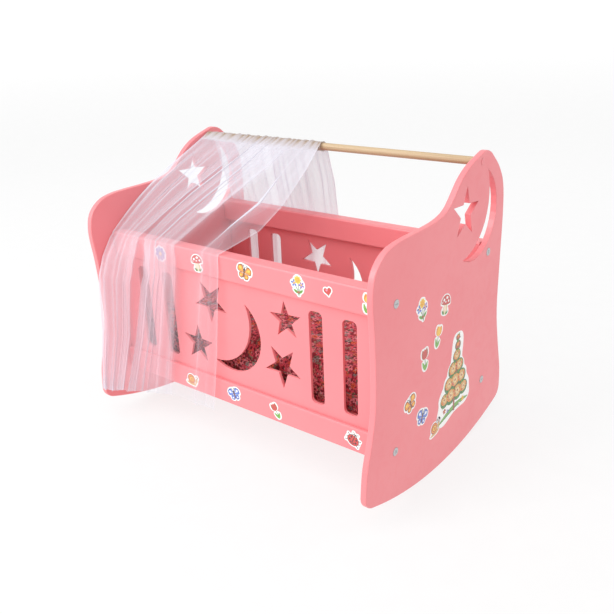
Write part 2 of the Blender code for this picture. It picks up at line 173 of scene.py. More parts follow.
# %% Make groups and materials
def new_group(name, inputs, outputs):
    """An empty node group with its way in and its way out. Each input is a number with its usual
    value, or a vector where that is None. Each output is a number."""
    group = bpy.data.node_groups.new(name, "ShaderNodeTree")
    for label, usual in inputs.items():
        kind = "NodeSocketVector" if usual is None else "NodeSocketFloat"
        socket = group.interface.new_socket(label, in_out="INPUT", socket_type=kind)
        if usual is not None:
            socket.default_value = usual
    for label in outputs:
        group.interface.new_socket(label, in_out="OUTPUT", socket_type="NodeSocketFloat")
    print("group", name, "gives", ", ".join(outputs))
    return group, group.nodes.new("NodeGroupInput").outputs, group.nodes.new("NodeGroupOutput").inputs


def place_group(tree, group, **sockets):
    """A node group set into a material."""
    return add_node(tree, "Group", {"node_tree": group}, **sockets).outputs


def new_material(name):
    """A material, its node tree and its Principled shader."""
    material = bpy.data.materials.new(name)
    material.use_nodes = True
    return material, material.node_tree, material.node_tree.nodes["Principled BSDF"]


def feed(shader, **sockets):
    """Sets or links sockets of a material's shader."""
    connect(shader.id_data, shader.inputs, sockets)
    print("material with", ", ".join(sockets))


# %% [markdown]
# ## The room: a pale sweep and soft light
#
# Studio photographs use a sweep: paper that lies flat under the object and rises behind it in
# one curve, so that no edge shows. This one rises all round, like a shallow bowl, so that it
# works from every side. A white world gives the even light of a light tent, and two large lamps,
# one from the front left and one from above, give the boards their small differences.
#
# The sweep is turned like a pot, from rings of points with a skin between them. The screws and the
# mattress's piping are made of rings too, so these steps are helpers.

# %% Build the sweep
def circle(radius, height, sides):
    """Points of a level circle round the upright axis."""
    return [(radius * math.cos(turn), radius * math.sin(turn), height)
            for turn in np.linspace(0, math.tau, sides, endpoint=False)]


def skin(shape, rings):
    """Faces from each ring of points to the next."""
    for inner, outer in zip(rings, rings[1:]):
        for side in range(len(inner)):
            shape.faces.new((inner[side - 1], outer[side - 1], outer[side], inner[side]))


def mesh_from(shape, name, smooth=True):
    """The mesh of a finished bmesh."""
    mesh = bpy.data.meshes.new(name)
    shape.to_mesh(mesh)
    shape.free()
    if smooth:
        mesh.shade_smooth()
    return mesh


flat_radius, sweep_radius = 1.9, 2.4
steepest = math.radians(76)
sweep_profile = [(radius, 0) for radius in (0.4, 0.9, 1.4, flat_radius)]
sweep_profile += [(flat_radius + sweep_radius * math.sin(turn), sweep_radius * (1 - math.cos(turn)))
                  for turn in np.linspace(0, steepest, 16)[1:]]
shape = bmesh.new()
rings = [[shape.verts.new(point) for point in circle(radius, height, 96)] for radius, height in sweep_profile]
skin(shape, rings)
shape.faces.new(rings[0])
sweep = set_out("studio_sweep", mesh_from(shape, "studio_sweep"))
print("sweep:", round(2 * sweep_profile[-1][0], 1), "m across and", round(sweep_profile[-1][1], 1), "m high")

# %% Give the sweep its paper
sweep_paper, tree, shader = new_material("sweep_paper")
place = own_place(tree)
fibre = blotches(tree, place, 30.0, 4.0)
paper_colour = blend_colours(tree, fibre, (0.14, 0.14, 0.14, 1), (0.16, 0.16, 0.16, 1))
height = add_node(tree, "SeparateXYZ", Vector=place).outputs["Z"]
glow = blend_colours(tree, fade(tree, height, 0.0, 0.9), (0.79, 0.79, 0.79, 1), (0.97, 0.97, 0.97, 1))
feed(shader, Base_Color=paper_colour, Roughness=0.9, Emission_Color=glow, Emission_Strength=1.0)
sweep.data.materials.append(sweep_paper)

# %% Light the sweep
def soft_lamp(name, place, aim, size, power):
    """A large square lamp that shines from its place towards a point."""
    lamp = bpy.data.lights.new(name, "AREA")
    lamp.shape = "SQUARE"
    lamp.size = size
    lamp.energy = power
    holder = set_out(name, lamp)
    holder.location = place
    holder.rotation_euler = (Vector(aim) - Vector(place)).to_track_quat("-Z", "Y").to_euler()


soft_lamp("key_lamp", (-0.9, -1.9, 1.5), (0, 0, 0.15), 1.3, 28)
soft_lamp("top_lamp", (0.1, -0.9, 2.4), (0, 0, 0.1), 1.6, 23)

tent = bpy.data.worlds.new("light_tent")
tent.use_nodes = True
connect(tent.node_tree, tent.node_tree.nodes["Background"].inputs, {"Color": (1, 1, 1, 1), "Strength": 0.67})
bpy.context.scene.world = tent

# %% [markdown]
# ## Painted board
#
# The cradle is cut from smooth fibre board and sprayed with a satin pink paint. Up close such
# paint isn't flat: it has a very fine orange peel from the spray gun, faint cloudy patches where
# the coat is thicker, and it lies thinner on sharp edges. The edges are painted a little paler,
# which stands both for that thinner paint and for a painted highlight on the rounded edges. The
# edges themselves are eased with sandpaper before painting.
#
# Orange peel could be sculpted, but at a tenth of a millimetre a bump is enough. The edge mask
# compares the surface with a rounded copy of itself, which the Bevel node gives, so it needs no
# painting by hand and follows every cut-out.

# %% Make the paint's shared pattern
spray_coat, way_in, way_out = new_group(
    "spray_coat", {"Peel Scale": 700.0, "Cloud Scale": 9.0, "Rounded Normal": None},
    ["Peel", "Clouds", "Handling", "Edges"])
tree = spray_coat
place = own_place(tree)
clouds = blotches(tree, place, way_in["Cloud Scale"], 3.0)
handling = blotches(tree, place, 55.0, 4.0, Distortion=1.2)
true_normal = add_node(tree, "NewGeometry").outputs["Normal"]
same_way = combine(tree, "DOT_PRODUCT", true_normal, way_in["Rounded Normal"], result="Value")
connect(tree, way_out, {
    "Peel": blotches(tree, place, way_in["Peel Scale"], 1.5), "Clouds": fade(tree, clouds, 0.3, 0.7),
    "Handling": fade(tree, handling, 0.35, 0.75), "Edges": fade(tree, same_way, 0.995, 0.90)})

# %% Mix the pink paint
pink_paint, tree, shader = new_material("pink_paint")
rounded = add_node(tree, "Bevel", {"samples": 4}, Radius=0.9 * mm).outputs[0]
coat = place_group(tree, spray_coat, Rounded_Normal=rounded)
even_pink = blend_colours(tree, coat["Clouds"], (0.865, 0.236, 0.257, 1), (0.885, 0.254, 0.275, 1))
# The paler edges stand both for thinner paint and for a painted highlight on the rounded edges
thin_paint_and_edge_highlight = calculate(tree, "MULTIPLY", coat["Edges"], 0.40)
pink_with_painted_edge_highlight = blend_colours(tree, thin_paint_and_edge_highlight, even_pink, (0.90, 0.46, 0.47, 1))
satin = fade(tree, coat["Handling"], 0.0, 1.0, 0.36, 0.47)
peel_bump = raised(tree, coat["Peel"], 0.25, 0.06 * mm, Normal=rounded)
feed(shader, Base_Color=pink_with_painted_edge_highlight, Roughness=satin, Normal=peel_bump, Coat_Weight=0.12, Coat_Roughness=0.22)

painted_nodes = [name for name in nodes if name.endswith(("_panel", "_rail", "_board"))]
for name in painted_nodes:
    nodes[name].material_slots[0].material = pink_paint
print("painted:", len(painted_nodes), "pieces")

# %% [markdown]
# ## The rod of bare beech
#
# Beech is pale and even, with a fine straight grain and short dark flecks, the rays, that are one
# or two millimetres long. The rod is turned or planed along the grain, so all of it is drawn out
# along X. Stretching the coordinates of a noise does this: the same noise that gives round
# blotches gives fibres when one direction counts far less than the others.

# %% Make the shared wood grain
wood_grain, way_in, way_out = new_group(
    "wood_grain", {"Along": 6.0, "Across": 260.0}, ["Grain", "Flecks", "Fibre"])
tree = wood_grain
place = own_place(tree)
stretch = add_node(tree, "CombineXYZ", X=way_in["Along"], Y=way_in["Across"], Z=way_in["Across"]).outputs[0]
drawn_out = combine(tree, "MULTIPLY", place, stretch)
grain = blotches(tree, drawn_out, 1.0, 4.0, Distortion=0.4)
fleck_stretch = combine(tree, "MULTIPLY", stretch, (60.0, 4.5, 4.5))
fleck_place = combine(tree, "MULTIPLY", place, fleck_stretch)
fleck_cells = add_node(tree, "TexVoronoi", Vector=fleck_place, Scale=1.0, Randomness=1.0).outputs["Distance"]
connect(tree, way_out, {
    "Grain": fade(tree, grain, 0.35, 0.65), "Flecks": fade(tree, fleck_cells, 0.24, 0.10),
    "Fibre": blotches(tree, drawn_out, 5.0, 2.0)})

# %% Finish the rod
bare_beech, tree, shader = new_material("bare_beech")
wood = place_group(tree, wood_grain)
beech_tone = blend_colours(tree, wood["Grain"], (0.56, 0.42, 0.26, 1), (0.46, 0.32, 0.18, 1))
fleck_depth = calculate(tree, "MULTIPLY", wood["Flecks"], 0.45)
beech_colour = blend_colours(tree, fleck_depth, beech_tone, (0.36, 0.20, 0.10, 1))
beech_gloss = fade(tree, wood["Fibre"], 0.3, 0.7, 0.42, 0.58)
feed(shader, Base_Color=beech_colour, Roughness=beech_gloss, Normal=raised(tree, wood["Fibre"], 0.3, 0.08 * mm))
nodes["canopy_rod"].material_slots[0].material = bare_beech
rod_low, rod_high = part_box("canopy_rod")
rod_radius = (rod_high.z - rod_low.z) / 2
rod_y, rod_z = (rod_low.y + rod_high.y) / 2, (rod_low.z + rod_high.z) / 2
print("rod:", round(2 * rod_radius / mm, 1), "mm across")

# %% [markdown]
# ## Screws
#
# Ten countersunk screws hold the cradle, eight with a 10 mm head and two with an 8 mm head. Their
# heads are a little domed and have a driver's cross pressed into them. The cross could be cut
# with a Boolean. Here the head is a grid of rings and spokes whose height is worked out point by
# point, which gives a cross with soft, pressed sides.

# %% Shape a screw
def cross_depth(x, y, head):
    """How deep the driver's cross is at a point of the head, as a share of its full depth."""
    arm_length, arm_width = 0.30 * head, 0.062 * head
    side_slope, end_slope = 0.035 * head, 0.05 * head
    reach = max(abs(x), abs(y))
    aside = min(abs(x), abs(y))
    taper = 1.25 - 0.5 * reach / arm_length
    in_arm = min(max((arm_width * taper - aside) / side_slope, 0), 1)
    in_reach = min(max((arm_length - reach) / end_slope, 0), 1)
    return in_arm * in_reach * (1 - 0.35 * reach / arm_length)


def screw_mesh(name, head, length, shank, cross):
    """A screw with its head's rim at height zero, pointing down. The cross is its depth as a share
    of the head's width."""
    spokes = 40
    shape = bmesh.new()
    rings = []
    for share in np.linspace(0.02, 1, 17) ** 0.9:
        eased_rim = 0.02 * head * max(share - 0.92, 0) / 0.08
        dome = 0.035 * head * (1 - share ** 2) - eased_rim
        rings.append([shape.verts.new((x, y, dome - cross * head * cross_depth(x, y, head)))
                      for x, y, _ in circle(share * head / 2, 0, spokes)])
    for radius, height in ((0.5 * head, -0.075 * head), (shank / 2, -0.3 * head), (shank / 2, 3 * mm - length)):
        rings.append([shape.verts.new(point) for point in circle(radius, height, spokes)])
    skin(shape, rings)
    shape.faces.new(rings[0])
    tip = shape.verts.new((0, 0, -length))
    for side in range(spokes):
        shape.faces.new((rings[-1][side], rings[-1][side - 1], tip))
    bmesh.ops.recalc_face_normals(shape, faces=shape.faces)
    mesh = mesh_from(shape, name)
    mesh.set_sharp_from_angle(angle=math.radians(38))
    return mesh


# %% [markdown]
# Zinc-plated steel is a bright, slightly bluish grey. It is never mirror-clean: the plating has a
# fine grain, and a driver leaves small scratches round the cross. Both go into the roughness,
# because that is what catches the light. The two screws in the rod's ends went in before the
# spraying, so filler and paint cover them.

# %% Plate the screws
zinc_plate, tree, shader = new_material("zinc_plate")
place = own_place(tree)
plating = blotches(tree, place, 1500.0, 3.0)
scratches = blotches(tree, combine(tree, "MULTIPLY", place, (300.0, 4000.0, 900.0)), 1.0, 2.0)
zinc_tone = blend_colours(tree, plating, (0.47, 0.48, 0.50, 1), (0.62, 0.62, 0.62, 1))
zinc_gloss = fade(tree, scratches, 0.35, 0.7, 0.22, 0.42)
zinc_bump = raised(tree, plating, 0.2, 0.02 * mm)
feed(shader, Base_Color=zinc_tone, Roughness=zinc_gloss, Metallic=1.0, Normal=zinc_bump)

# %% Drive them in
screw_nodes = sorted(name for name in nodes if name.endswith("_screw"))
for name in screw_nodes:
    low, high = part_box(name)
    outward = 1 if name.startswith("foot") else -1
    head = high.z - low.z
    painted = "rod" in name
    cross = 0.01 if painted else 0.13
    screw = set_out(name.replace("_screw", "_cross_screw"),
                    screw_mesh(name, head, high.x - low.x, 0.5 * head, cross))
    turn = Matrix.Rotation(math.radians(90 * outward), 4, "Y") @ Matrix.Rotation(len(name) * 0.7, 4, "Z")
    rim_x = high.x if outward > 0 else low.x
    screw.matrix_world = Matrix.Translation((rim_x, (low.y + high.y) / 2, (low.z + high.z) / 2)) @ turn
    screw.data.materials.append(pink_paint if painted else zinc_plate)
    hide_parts(name)
    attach(screw, "cradle")
print("screws:", len(screw_nodes))

# %% [markdown]
# ## The mattress
#
# The mattress is a bag of thin printed cotton round a soft filling. It bulges where nothing holds
# it and is drawn in along its seam, where a cord is sewn in. Such a shape is hard to model well
# by hand and easy to blow up: a bag with a wide round above and a tight one below is turned into
# an even mesh. Blender's Cloth pumps it up for a few frames, and a cap keeps every point near
# where it started, so the mattress still fits between its sides. The lower half stands squeezed
# there, so it hardly moves. The bag starts a little too low, and what lies below the floor board's
# top is pressed flat afterwards, as the board does it.

# %% Cut the bag out
def worked_in(piece):
    """The plain mesh that an object's modifiers make of it. They are then taken off."""
    graph = bpy.context.evaluated_depsgraph_get()
    mesh = bpy.data.meshes.new_from_object(piece.evaluated_get(graph))
    piece.modifiers.clear()
    return mesh


bed_low, bed_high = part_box("mattress")
bed_middle, bed_half = (bed_low + bed_high) / 2, (bed_high - bed_low) / 2
room = bed_half + Vector((-0.5 * mm, -0.5 * mm, 0.5 * mm))
shape = bmesh.new()
bmesh.ops.create_cube(shape, size=2)
bmesh.ops.transform(shape, matrix=Matrix.Diagonal((*room, 1)), verts=shape.verts)
# The upright edges are rounded first, then the upper ones and the lower ones
for level, radius in ((None, 14 * mm), (room.z, 13 * mm), (-room.z, 3 * mm)):
    edges = [edge for edge in shape.edges
             if (abs(edge.verts[0].co.z - edge.verts[1].co.z) > room.z if level is None
                 else all(abs(point.co.z - level) < 1e-6 for point in edge.verts))]
    bmesh.ops.bevel(shape, geom=edges, offset=radius, segments=5, profile=0.5, affect="EDGES")
too_low, voxel = 5.5 * mm, 5.5 * mm
bmesh.ops.translate(shape, vec=bed_middle - Vector((0, 0, too_low)), verts=shape.verts)
mattress = set_out("stuffed_mattress", mesh_from(shape, "stuffed_mattress"))
even = mattress.modifiers.new("even mesh", "REMESH")
even.mode = "VOXEL"
even.voxel_size = voxel
mattress.data = worked_in(mattress)
print("mattress mesh:", len(mattress.data.vertices), "points")

# %% Run the cloth and cap its movement
def points_of(mesh):
    """The places of a mesh's points, as an array."""
    points = np.empty(len(mesh.vertices) * 3)
    mesh.vertices.foreach_get("co", points)
    return points.reshape(-1, 3)


cloth_frames = 20
farthest = 7 * mm
start = points_of(mattress.data)
puff = mattress.modifiers.new("puff", "CLOTH").settings
puff.use_pressure = True
puff.uniform_pressure_force = 4
puff.tension_stiffness = 12
puff.effector_weights.gravity = 0
for step in range(1, cloth_frames + 1):
    bpy.context.scene.frame_set(step)
puffed = worked_in(mattress)
bpy.context.scene.frame_set(1)
move = points_of(puffed) - start
distance = np.linalg.norm(move, axis=1, keepdims=True)
move *= np.minimum(1, farthest / np.maximum(distance, 1e-9))
rise = (start[:, 2:] - bed_low.z) / (bed_high.z - bed_low.z)
# How free each point is: hardly, in the lowest third, and fully from 70 % of the height
move *= np.clip((rise - 0.35) / 0.35, 0.06, 1)
puffed.vertices.foreach_set("co", (start + move).ravel())
mattress.data = puffed
print("cloth moved the mattress by up to", round(float(distance.max()) / mm, 1), "mm before the cap")

# %% [markdown]
# Filled cotton puckers along a seam: short waves run from the seam into the cloth and fade. They
# are narrower than the mesh that the cloth ran on, so the waves are added to the finer mesh by
# formula, with the seam itself drawn in between top and side. The filling lies in soft lumps, which
# show on the top. Last, what sticks out of the space that the bed leaves is pressed back into it.

# %% Draw in the seam and pucker it
mattress.modifiers.new("finer", "SUBSURF").levels = 1
mattress.data = worked_in(mattress)
crown = 6 * mm
seam_height = bed_low.z + 0.5 * (bed_high.z - bed_low.z - crown)
seam_depth, seam_width = 2.2 * mm, 3 * mm
pucker_depth, pucker_reach = 0.9 * mm, 9 * mm
lump_height = 0.9 * mm
for vertex in mattress.data.vertices:
    x, y, z = vertex.co
    side_x, side_y = abs(x - bed_middle.x) / bed_half.x, abs(y - bed_middle.y) / bed_half.y
    near_rim = max(side_x ** 10, side_y ** 6)
    along = x if side_y > side_x else y
    from_seam = abs(z - seam_height)
    drawn_in = seam_depth * math.exp(-(from_seam / seam_width) ** 2)
    pucker = pucker_depth * math.sin(along / mm * 0.55 + 2.2 * noise.noise(Vector((along * 40, z * 30, 0))))
    pucker *= math.exp(-from_seam / pucker_reach)
    outward = Vector((x - bed_middle.x if side_x >= side_y else 0, y - bed_middle.y if side_y > side_x else 0, 0))
    if outward.length > 0:
        vertex.co += outward.normalized() * near_rim * (pucker - drawn_in)
    lumps = noise.noise(Vector((x * 22, y * 22, 3.1))) + 0.5 * noise.noise(Vector((x * 60, y * 60, 8.2)))
    if z > seam_height:
        vertex.co.z += lump_height * lumps * (1 - near_rim)
    for axis in range(3):
        vertex.co[axis] = min(max(vertex.co[axis], bed_low[axis]), bed_high[axis])
mattress.data.shade_smooth()
print("seam:", round((seam_height - bed_low.z) / mm, 1), "mm above the floor board")

# %% [markdown]
# The cloth's print has to lie at its true size, so the mesh gets a map in metres: each face takes
# the two coordinates that it shows most of. The map breaks at the seam, as the real print does
# where top and side are sewn together.

# %% Map the cloth in metres
def map_in_metres(mesh):
    """A UV map that gives each face its size in metres, flattened along its main direction."""
    cloth_map = mesh.uv_layers.new(name="cloth")
    for face in mesh.polygons:
        main = max(range(3), key=lambda axis: abs(face.normal[axis]))
        first, second = ((1, 2), (0, 2), (0, 1))[main]
        for loop in face.loop_indices:
            point = mesh.vertices[mesh.loops[loop].vertex_index].co
            cloth_map.data[loop].uv = (point[first], point[second])


map_in_metres(mattress.data)
print("mapped:", len(mattress.data.polygons), "faces")

# %% [markdown]
# ## Flowered cotton
#
# The print is a busy pattern of small flowers on a dark red ground, each three to eight
# millimetres across. Printed cotton repeats, but at this size the eye reads it as scattered. A
# Voronoi texture scatters cells, and a flower is a curve round each cell's middle: its radius
# swells and shrinks with the angle, once for each petal. One group makes such a layer, and the
# material lays several over each other with sizes, petals and colours of their own.

# %% Make the shared layer of flowers
def in_cells(tree, place, cell):
    """A place counted in cells of a size instead of in metres."""
    return combine(tree, "DIVIDE", place, add_node(tree, "CombineXYZ", X=cell, Y=cell, Z=cell).outputs[0])


flower_layer, way_in, way_out = new_group(
    "flower_layer", {"Place": None, "Cell": 8 * mm, "Petals": 5.0, "Size": 0.42, "Depth": 0.3, "Seed": 0.0},
    ["Flower", "Heart", "Rim", "Chance"])
tree = flower_layer
seed = add_node(tree, "CombineXYZ", X=way_in["Seed"], Y=way_in["Seed"]).outputs[0]
seeded = combine(tree, "ADD", in_cells(tree, way_in["Place"], way_in["Cell"]), seed)
scatter = add_node(tree, "TexVoronoi", {"voronoi_dimensions": "2D"}, Vector=seeded, Scale=1.0,
                   Randomness=0.75).outputs
chances = add_node(tree, "SeparateColor", Color=scatter["Color"]).outputs
from_middle = combine(tree, "SUBTRACT", seeded, scatter["Position"])
local = add_node(tree, "SeparateXYZ", Vector=from_middle).outputs
own_turn = calculate(tree, "MULTIPLY", chances["Red"], math.tau)
angle = calculate(tree, "ADD", calculate(tree, "ARCTAN2", local["Y"], local["X"]), own_turn)
petal_wave = calculate(tree, "COSINE", calculate(tree, "MULTIPLY", angle, way_in["Petals"]))
petal_swell = calculate(tree, "MULTIPLY_ADD", petal_wave, way_in["Depth"], 1.0)
own_size = calculate(tree, "MULTIPLY_ADD", chances["Green"], 0.5, 0.6)
limit = calculate(tree, "MULTIPLY", calculate(tree, "MULTIPLY", way_in["Size"], own_size), petal_swell)
inside = calculate(tree, "SUBTRACT", limit, scatter["Distance"])
in_heart = calculate(tree, "SUBTRACT", calculate(tree, "MULTIPLY", limit, 0.36), scatter["Distance"])
flower = fade(tree, inside, 0.0, 0.05)
connect(tree, way_out, {
    "Flower": flower, "Heart": fade(tree, in_heart, 0.0, 0.04), "Chance": chances["Blue"],
    "Rim": calculate(tree, "MULTIPLY", flower, fade(tree, inside, 0.11, 0.04))})

# %% [markdown]
# A weave is two sets of threads that pass over and under each other. Seen close, plain weave is a
# checkerboard of small humps, so two sine waves and a checkerboard make it. The group gives a
# height for a bump, and the tulle, which is a net and not a weave, gets its own group later.

# %% Make the shared plain weave
plain_weave, way_in, way_out = new_group("plain_weave", {"Place": None, "Thread": 0.35 * mm}, ["Height"])
tree = plain_weave
in_threads = in_cells(tree, way_in["Place"], way_in["Thread"])
threads = add_node(tree, "SeparateXYZ", Vector=in_threads).outputs
humps, numbers = [], []
for axis in "XY":
    turns = calculate(tree, "MULTIPLY", threads[axis], math.pi)
    humps.append(calculate(tree, "ABSOLUTE", calculate(tree, "SINE", turns)))
    numbers.append(calculate(tree, "FLOOR", threads[axis]))
over_under = calculate(tree, "PINGPONG", calculate(tree, "ADD", *numbers), 1.0)
height = add_node(tree, "Mix", {"data_type": "FLOAT"}, i0=over_under, i2=humps[0], i3=humps[1]).outputs[0]
connect(tree, way_out, {"Height": height})

# %% [markdown]
# The print's colours were read off a screen, where a number from 0 to 255 isn't an amount of
# light. A shader takes amounts of light, so the helper turns one into the other.

# %% Print and weave the cotton
def screen_colour(red, green, blue):
    """A colour read off a screen, 0 to 255, as the linear colour that a shader takes."""
    def linear(level):
        level /= 255
        return level / 12.92 if level <= 0.04045 else ((level + 0.055) / 1.055) ** 2.4
    return (linear(red), linear(green), linear(blue), 1)


flowered_cotton, tree, shader = new_material("flowered_cotton")
on_cloth = add_node(tree, "UVMap", {"uv_map": "cloth"}).outputs[0]
ground = blotches(tree, on_cloth, 85.0, 2.0, {"noise_dimensions": "2D"})
bright_red, dark_red, petal_rim = screen_colour(152, 28, 46), screen_colour(98, 8, 22), screen_colour(70, 8, 18)
print_colour = blend_colours(tree, fade(tree, ground, 0.4, 0.6), bright_red, dark_red)
flower_kinds = [
    # cell in millimetres, petals, size, depth, seed, two petal colours, heart colour
    (9.6, 3.0, 0.34, 0.45, 3.1, (122, 112, 92), (178, 150, 120), (84, 80, 56)),
    (10.4, 5.0, 0.46, 0.28, 7.7, (222, 74, 92), (240, 128, 138), (122, 16, 38)),
    (17.0, 6.0, 0.42, 0.22, 1.3, (226, 84, 100), (244, 140, 148), (110, 10, 30)),
    (14.0, 5.0, 0.30, 0.30, 12.9, (236, 104, 66), (150, 146, 140), (128, 36, 20)),
    (8.4, 4.0, 0.18, 0.30, 19.4, (248, 214, 212), (178, 30, 52), (204, 96, 88)),
]
for cell, petals, size, depth, seed, *seen in flower_kinds:
    first, second, heart_colour = (screen_colour(*levels) for levels in seen)
    layer = place_group(tree, flower_layer, Place=on_cloth, Cell=cell * mm, Petals=petals, Size=size, Depth=depth,
                        Seed=seed)
    petal_colour = blend_colours(tree, fade(tree, layer["Chance"], 0.35, 0.65), first, second)
    petal_colour = blend_colours(tree, calculate(tree, "MULTIPLY", layer["Rim"], 0.55), petal_colour, petal_rim)
    petal_colour = blend_colours(tree, layer["Heart"], petal_colour, heart_colour)
    print_colour = blend_colours(tree, layer["Flower"], print_colour, petal_colour)
weave = place_group(tree, plain_weave, Place=on_cloth)["Height"]
# Painted shade darkens the low parts of the weave, between the threads
painted_weave_shade = calculate(tree, "MULTIPLY", calculate(tree, "SUBTRACT", 1.0, weave), 0.18)
cotton_colour = blend_colours(tree, painted_weave_shade, print_colour, (0.02, 0.004, 0.006, 1))
feed(shader, Base_Color=cotton_colour, Roughness=fade(tree, weave, 0.0, 1.0, 0.92, 0.78),
     Normal=raised(tree, weave, 0.35, 0.12 * mm), Sheen_Weight=0.10, Sheen_Roughness=0.5)
mattress.data.materials.clear()
mattress.data.materials.append(flowered_cotton)
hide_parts("mattress")
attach(mattress, "mattress")

# %% [markdown]
# ## Piping
#
# A cord covered with a strip of the same cotton runs round the mattress in its seam. It hides the
# join and keeps the shape. A curve with a round section would do, but the strip is wrapped on the
# slant and shows shallow ridges, so the tube is built ring by ring with its radius worked out.

# %% Sew the piping in
def rounded_loop(half_x, half_y, corner, count):
    """Evenly spaced points round a rectangle with rounded corners, and the length of one round."""
    inner_x, inner_y = half_x - corner, half_y - corner
    points = []
    for across, up, start in ((1, 1, 0), (-1, 1, 90), (-1, -1, 180), (1, -1, 270)):
        for turn in np.radians(np.linspace(start, start + 90, 12)):
            points.append((across * inner_x + corner * math.cos(turn), up * inner_y + corner * math.sin(turn)))
    points = np.array(points + points[:1])
    travelled = np.concatenate([[0], np.cumsum(np.linalg.norm(np.diff(points, axis=0), axis=1))])
    wanted = np.linspace(0, travelled[-1], count, endpoint=False)
    xs, ys = (np.interp(wanted, travelled, points[:, axis]) for axis in (0, 1))
    return [Vector((x, y, 0)) for x, y in zip(xs, ys)], travelled[-1]


piping_radius = 1.6 * mm
inset = piping_radius + 0.4 * mm
loop, loop_length = rounded_loop(bed_half.x - inset, bed_half.y - inset, 14 * mm, 900)
ridge_count = round(loop_length / (4 * mm))
shape = bmesh.new()
rings = []
for index, point in enumerate(loop):
    ahead = (loop[(index + 1) % len(loop)] - loop[index - 1]).normalized()
    outward = Vector((ahead.y, -ahead.x, 0))
    travelled = math.tau * index / len(loop)
    middle = bed_middle + point
    middle.z = seam_height + 0.35 * mm * math.sin(26 * travelled)
    ring = []
    for turn in np.linspace(0, math.tau, 10, endpoint=False):
        ridge = 1 + 0.07 * math.sin(ridge_count * travelled + turn)
        offset = outward * math.cos(turn) + Vector((0, 0, 1)) * math.sin(turn)
        ring.append(shape.verts.new(middle + offset * piping_radius * ridge))
    rings.append(ring)
skin(shape, rings + rings[:1])
bmesh.ops.recalc_face_normals(shape, faces=shape.faces)
piping = set_out("mattress_piping", mesh_from(shape, "mattress_piping"))
map_in_metres(piping.data)
piping.data.materials.append(flowered_cotton)
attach(piping, "mattress")
print("piping:", round(loop_length, 3), "m round the mattress, with", ridge_count, "ridges")

# %% [markdown]
# ## The canopy's lines
#
# The canopy is one rectangle of tulle. Its middle is sewn into a casing that is gathered on the
# rod, and its two halves fall over the side rails, one to the front and one to the back. To model
# it, think of the cloth as a row of threads that all run from the front hem, up over the rail, up
# the slope, round the rod and down to the back hem. The next cells find where such a thread lies.
# Cloth simulation could do it too, but gathered tulle has hundreds of fine folds, which need a
# mesh that is too fine to simulate. Lines and waves give every fold at once.

# %% Gather the canopy's places
front_hem_z, back_hem_z = (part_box(f"canopy_{side}_drop")[0].z for side in ("front", "back"))
rail_low, rail_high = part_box("front_top_rail")
back_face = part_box("back_top_rail")[1].y
head_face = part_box("head_end_panel")[1].x
start_x = head_face + 1.2 * mm
side_middle_y = (rail_low.y + back_face) / 2
side_out = (back_face - rail_low.y) / 2
side_top = rail_high.z
sheet_columns = 520
share = np.linspace(0, 1, sheet_columns)
print("rails:", round(2 * side_out / mm), "mm apart outside, and", round(side_top / mm), "mm high")

# %% [markdown]
# Eleven of the threads are placed by the photograph. A table gives them as shares of the cloth's
# width, and then as millimetres from its left edge at each height. Many threads in little room
# make a dense bundle, and few threads in much room a bare stretch. The others lie between them.

# %% Say where the threads lie
thread_shares = [0, 0.12, 0.25, 0.392, 0.398, 0.53, 0.68, 0.82, 0.86, 0.94, 1.0]
front_places = [
    # station: 0 at the rod, 1 at the rail, 2 at the hem
    (0.00, [0, 36, 70, 106, 113, 133, 156, 179, 190, 207, 221]),
    (0.25, [0, 30, 60, 92, 98, 119, 145, 168, 186, 210, 232]),
    (0.58, [0, 24, 46, 70, 76, 98, 124, 148, 201, 208, 241]),
    (0.78, [0, 22, 42, 62, 68, 88, 113, 138, 185, 195, 238]),
    (1.00, [0, 20, 39, 57, 64, 84, 107, 129, 171, 189, 208]),
    (1.09, [0, 20, 41, 60, 75, 88, 110, 133, 172, 190, 208]),
    (1.20, [0, 19, 42, 61, 81, 92, 111, 130, 167, 186, 205]),
    (1.42, [0, 17, 38, 54, 70, 81, 101, 122, 158, 178, 199]),
    (1.61, [0, 15, 34, 49, 60, 71, 93, 116, 153, 172, 194]),
    (1.85, [0, 11, 26, 37, 46, 57, 82, 105, 142, 162, 185]),
    (2.00, [0, 8, 19, 28, 36, 48, 75, 102, 138, 158, 179]),
]
back_places = [
    (0.00, front_places[0][1]),
    (0.50, [0, 30, 62, 96, 103, 125, 152, 176, 189, 206, 222]),
    (1.00, [0, 29, 58, 90, 97, 120, 147, 171, 183, 199, 214]),
    (1.50, [0, 28, 55, 84, 91, 113, 139, 162, 174, 190, 205]),
    (2.00, [0, 26, 51, 78, 85, 106, 132, 154, 166, 181, 196]),
]
print("threads in the tables:", len(thread_shares))

# %% Read the tables between their numbers
def soften(padded, width):
    """A row of values, each averaged with its neighbours. Half a width at each end is used up."""
    window = np.hanning(width)
    return np.convolve(padded, window / window.sum(), "valid")


def spread(places):
    """The distance from the left edge for every column, softened so that no thread kinks."""
    line = np.interp(share, thread_shares, np.array(places) * mm)
    return soften(np.concatenate([2 * line[0] - line[8:0:-1], line, 2 * line[-1] - line[-2:-10:-1]]), 17)


def between(table, at):
    """The distances at a station between two of the table's rows."""
    stations = [station for station, _ in table]
    lower = min(max(np.searchsorted(stations, at) - 1, 0), len(table) - 2)
    part = (at - stations[lower]) / (stations[lower + 1] - stations[lower])
    return (1 - part) * spread(table[lower][1]) + part * spread(table[lower + 1][1])


print("cloth:", sheet_columns, "threads over", front_places[0][1][-1], "mm of rod")

# %% [markdown]
# ## The canopy's folds
#
# Gathered cloth folds at several sizes at once: a few deep folds, more middling ones, and fine
# gathers that fade away from the rod. Each is a wave across the cloth. A plain wave looks like
# corrugated iron, because real folds overhang: their sides lean over and hide a layer below.
# Sliding each point sideways, twice as often as it goes out and in, gives that overhang. At a
# lean of 1 the sides stand upright, and above it they overhang. Where the sheer layers lie over
# each other the tulle looks whiter, as in the photograph.

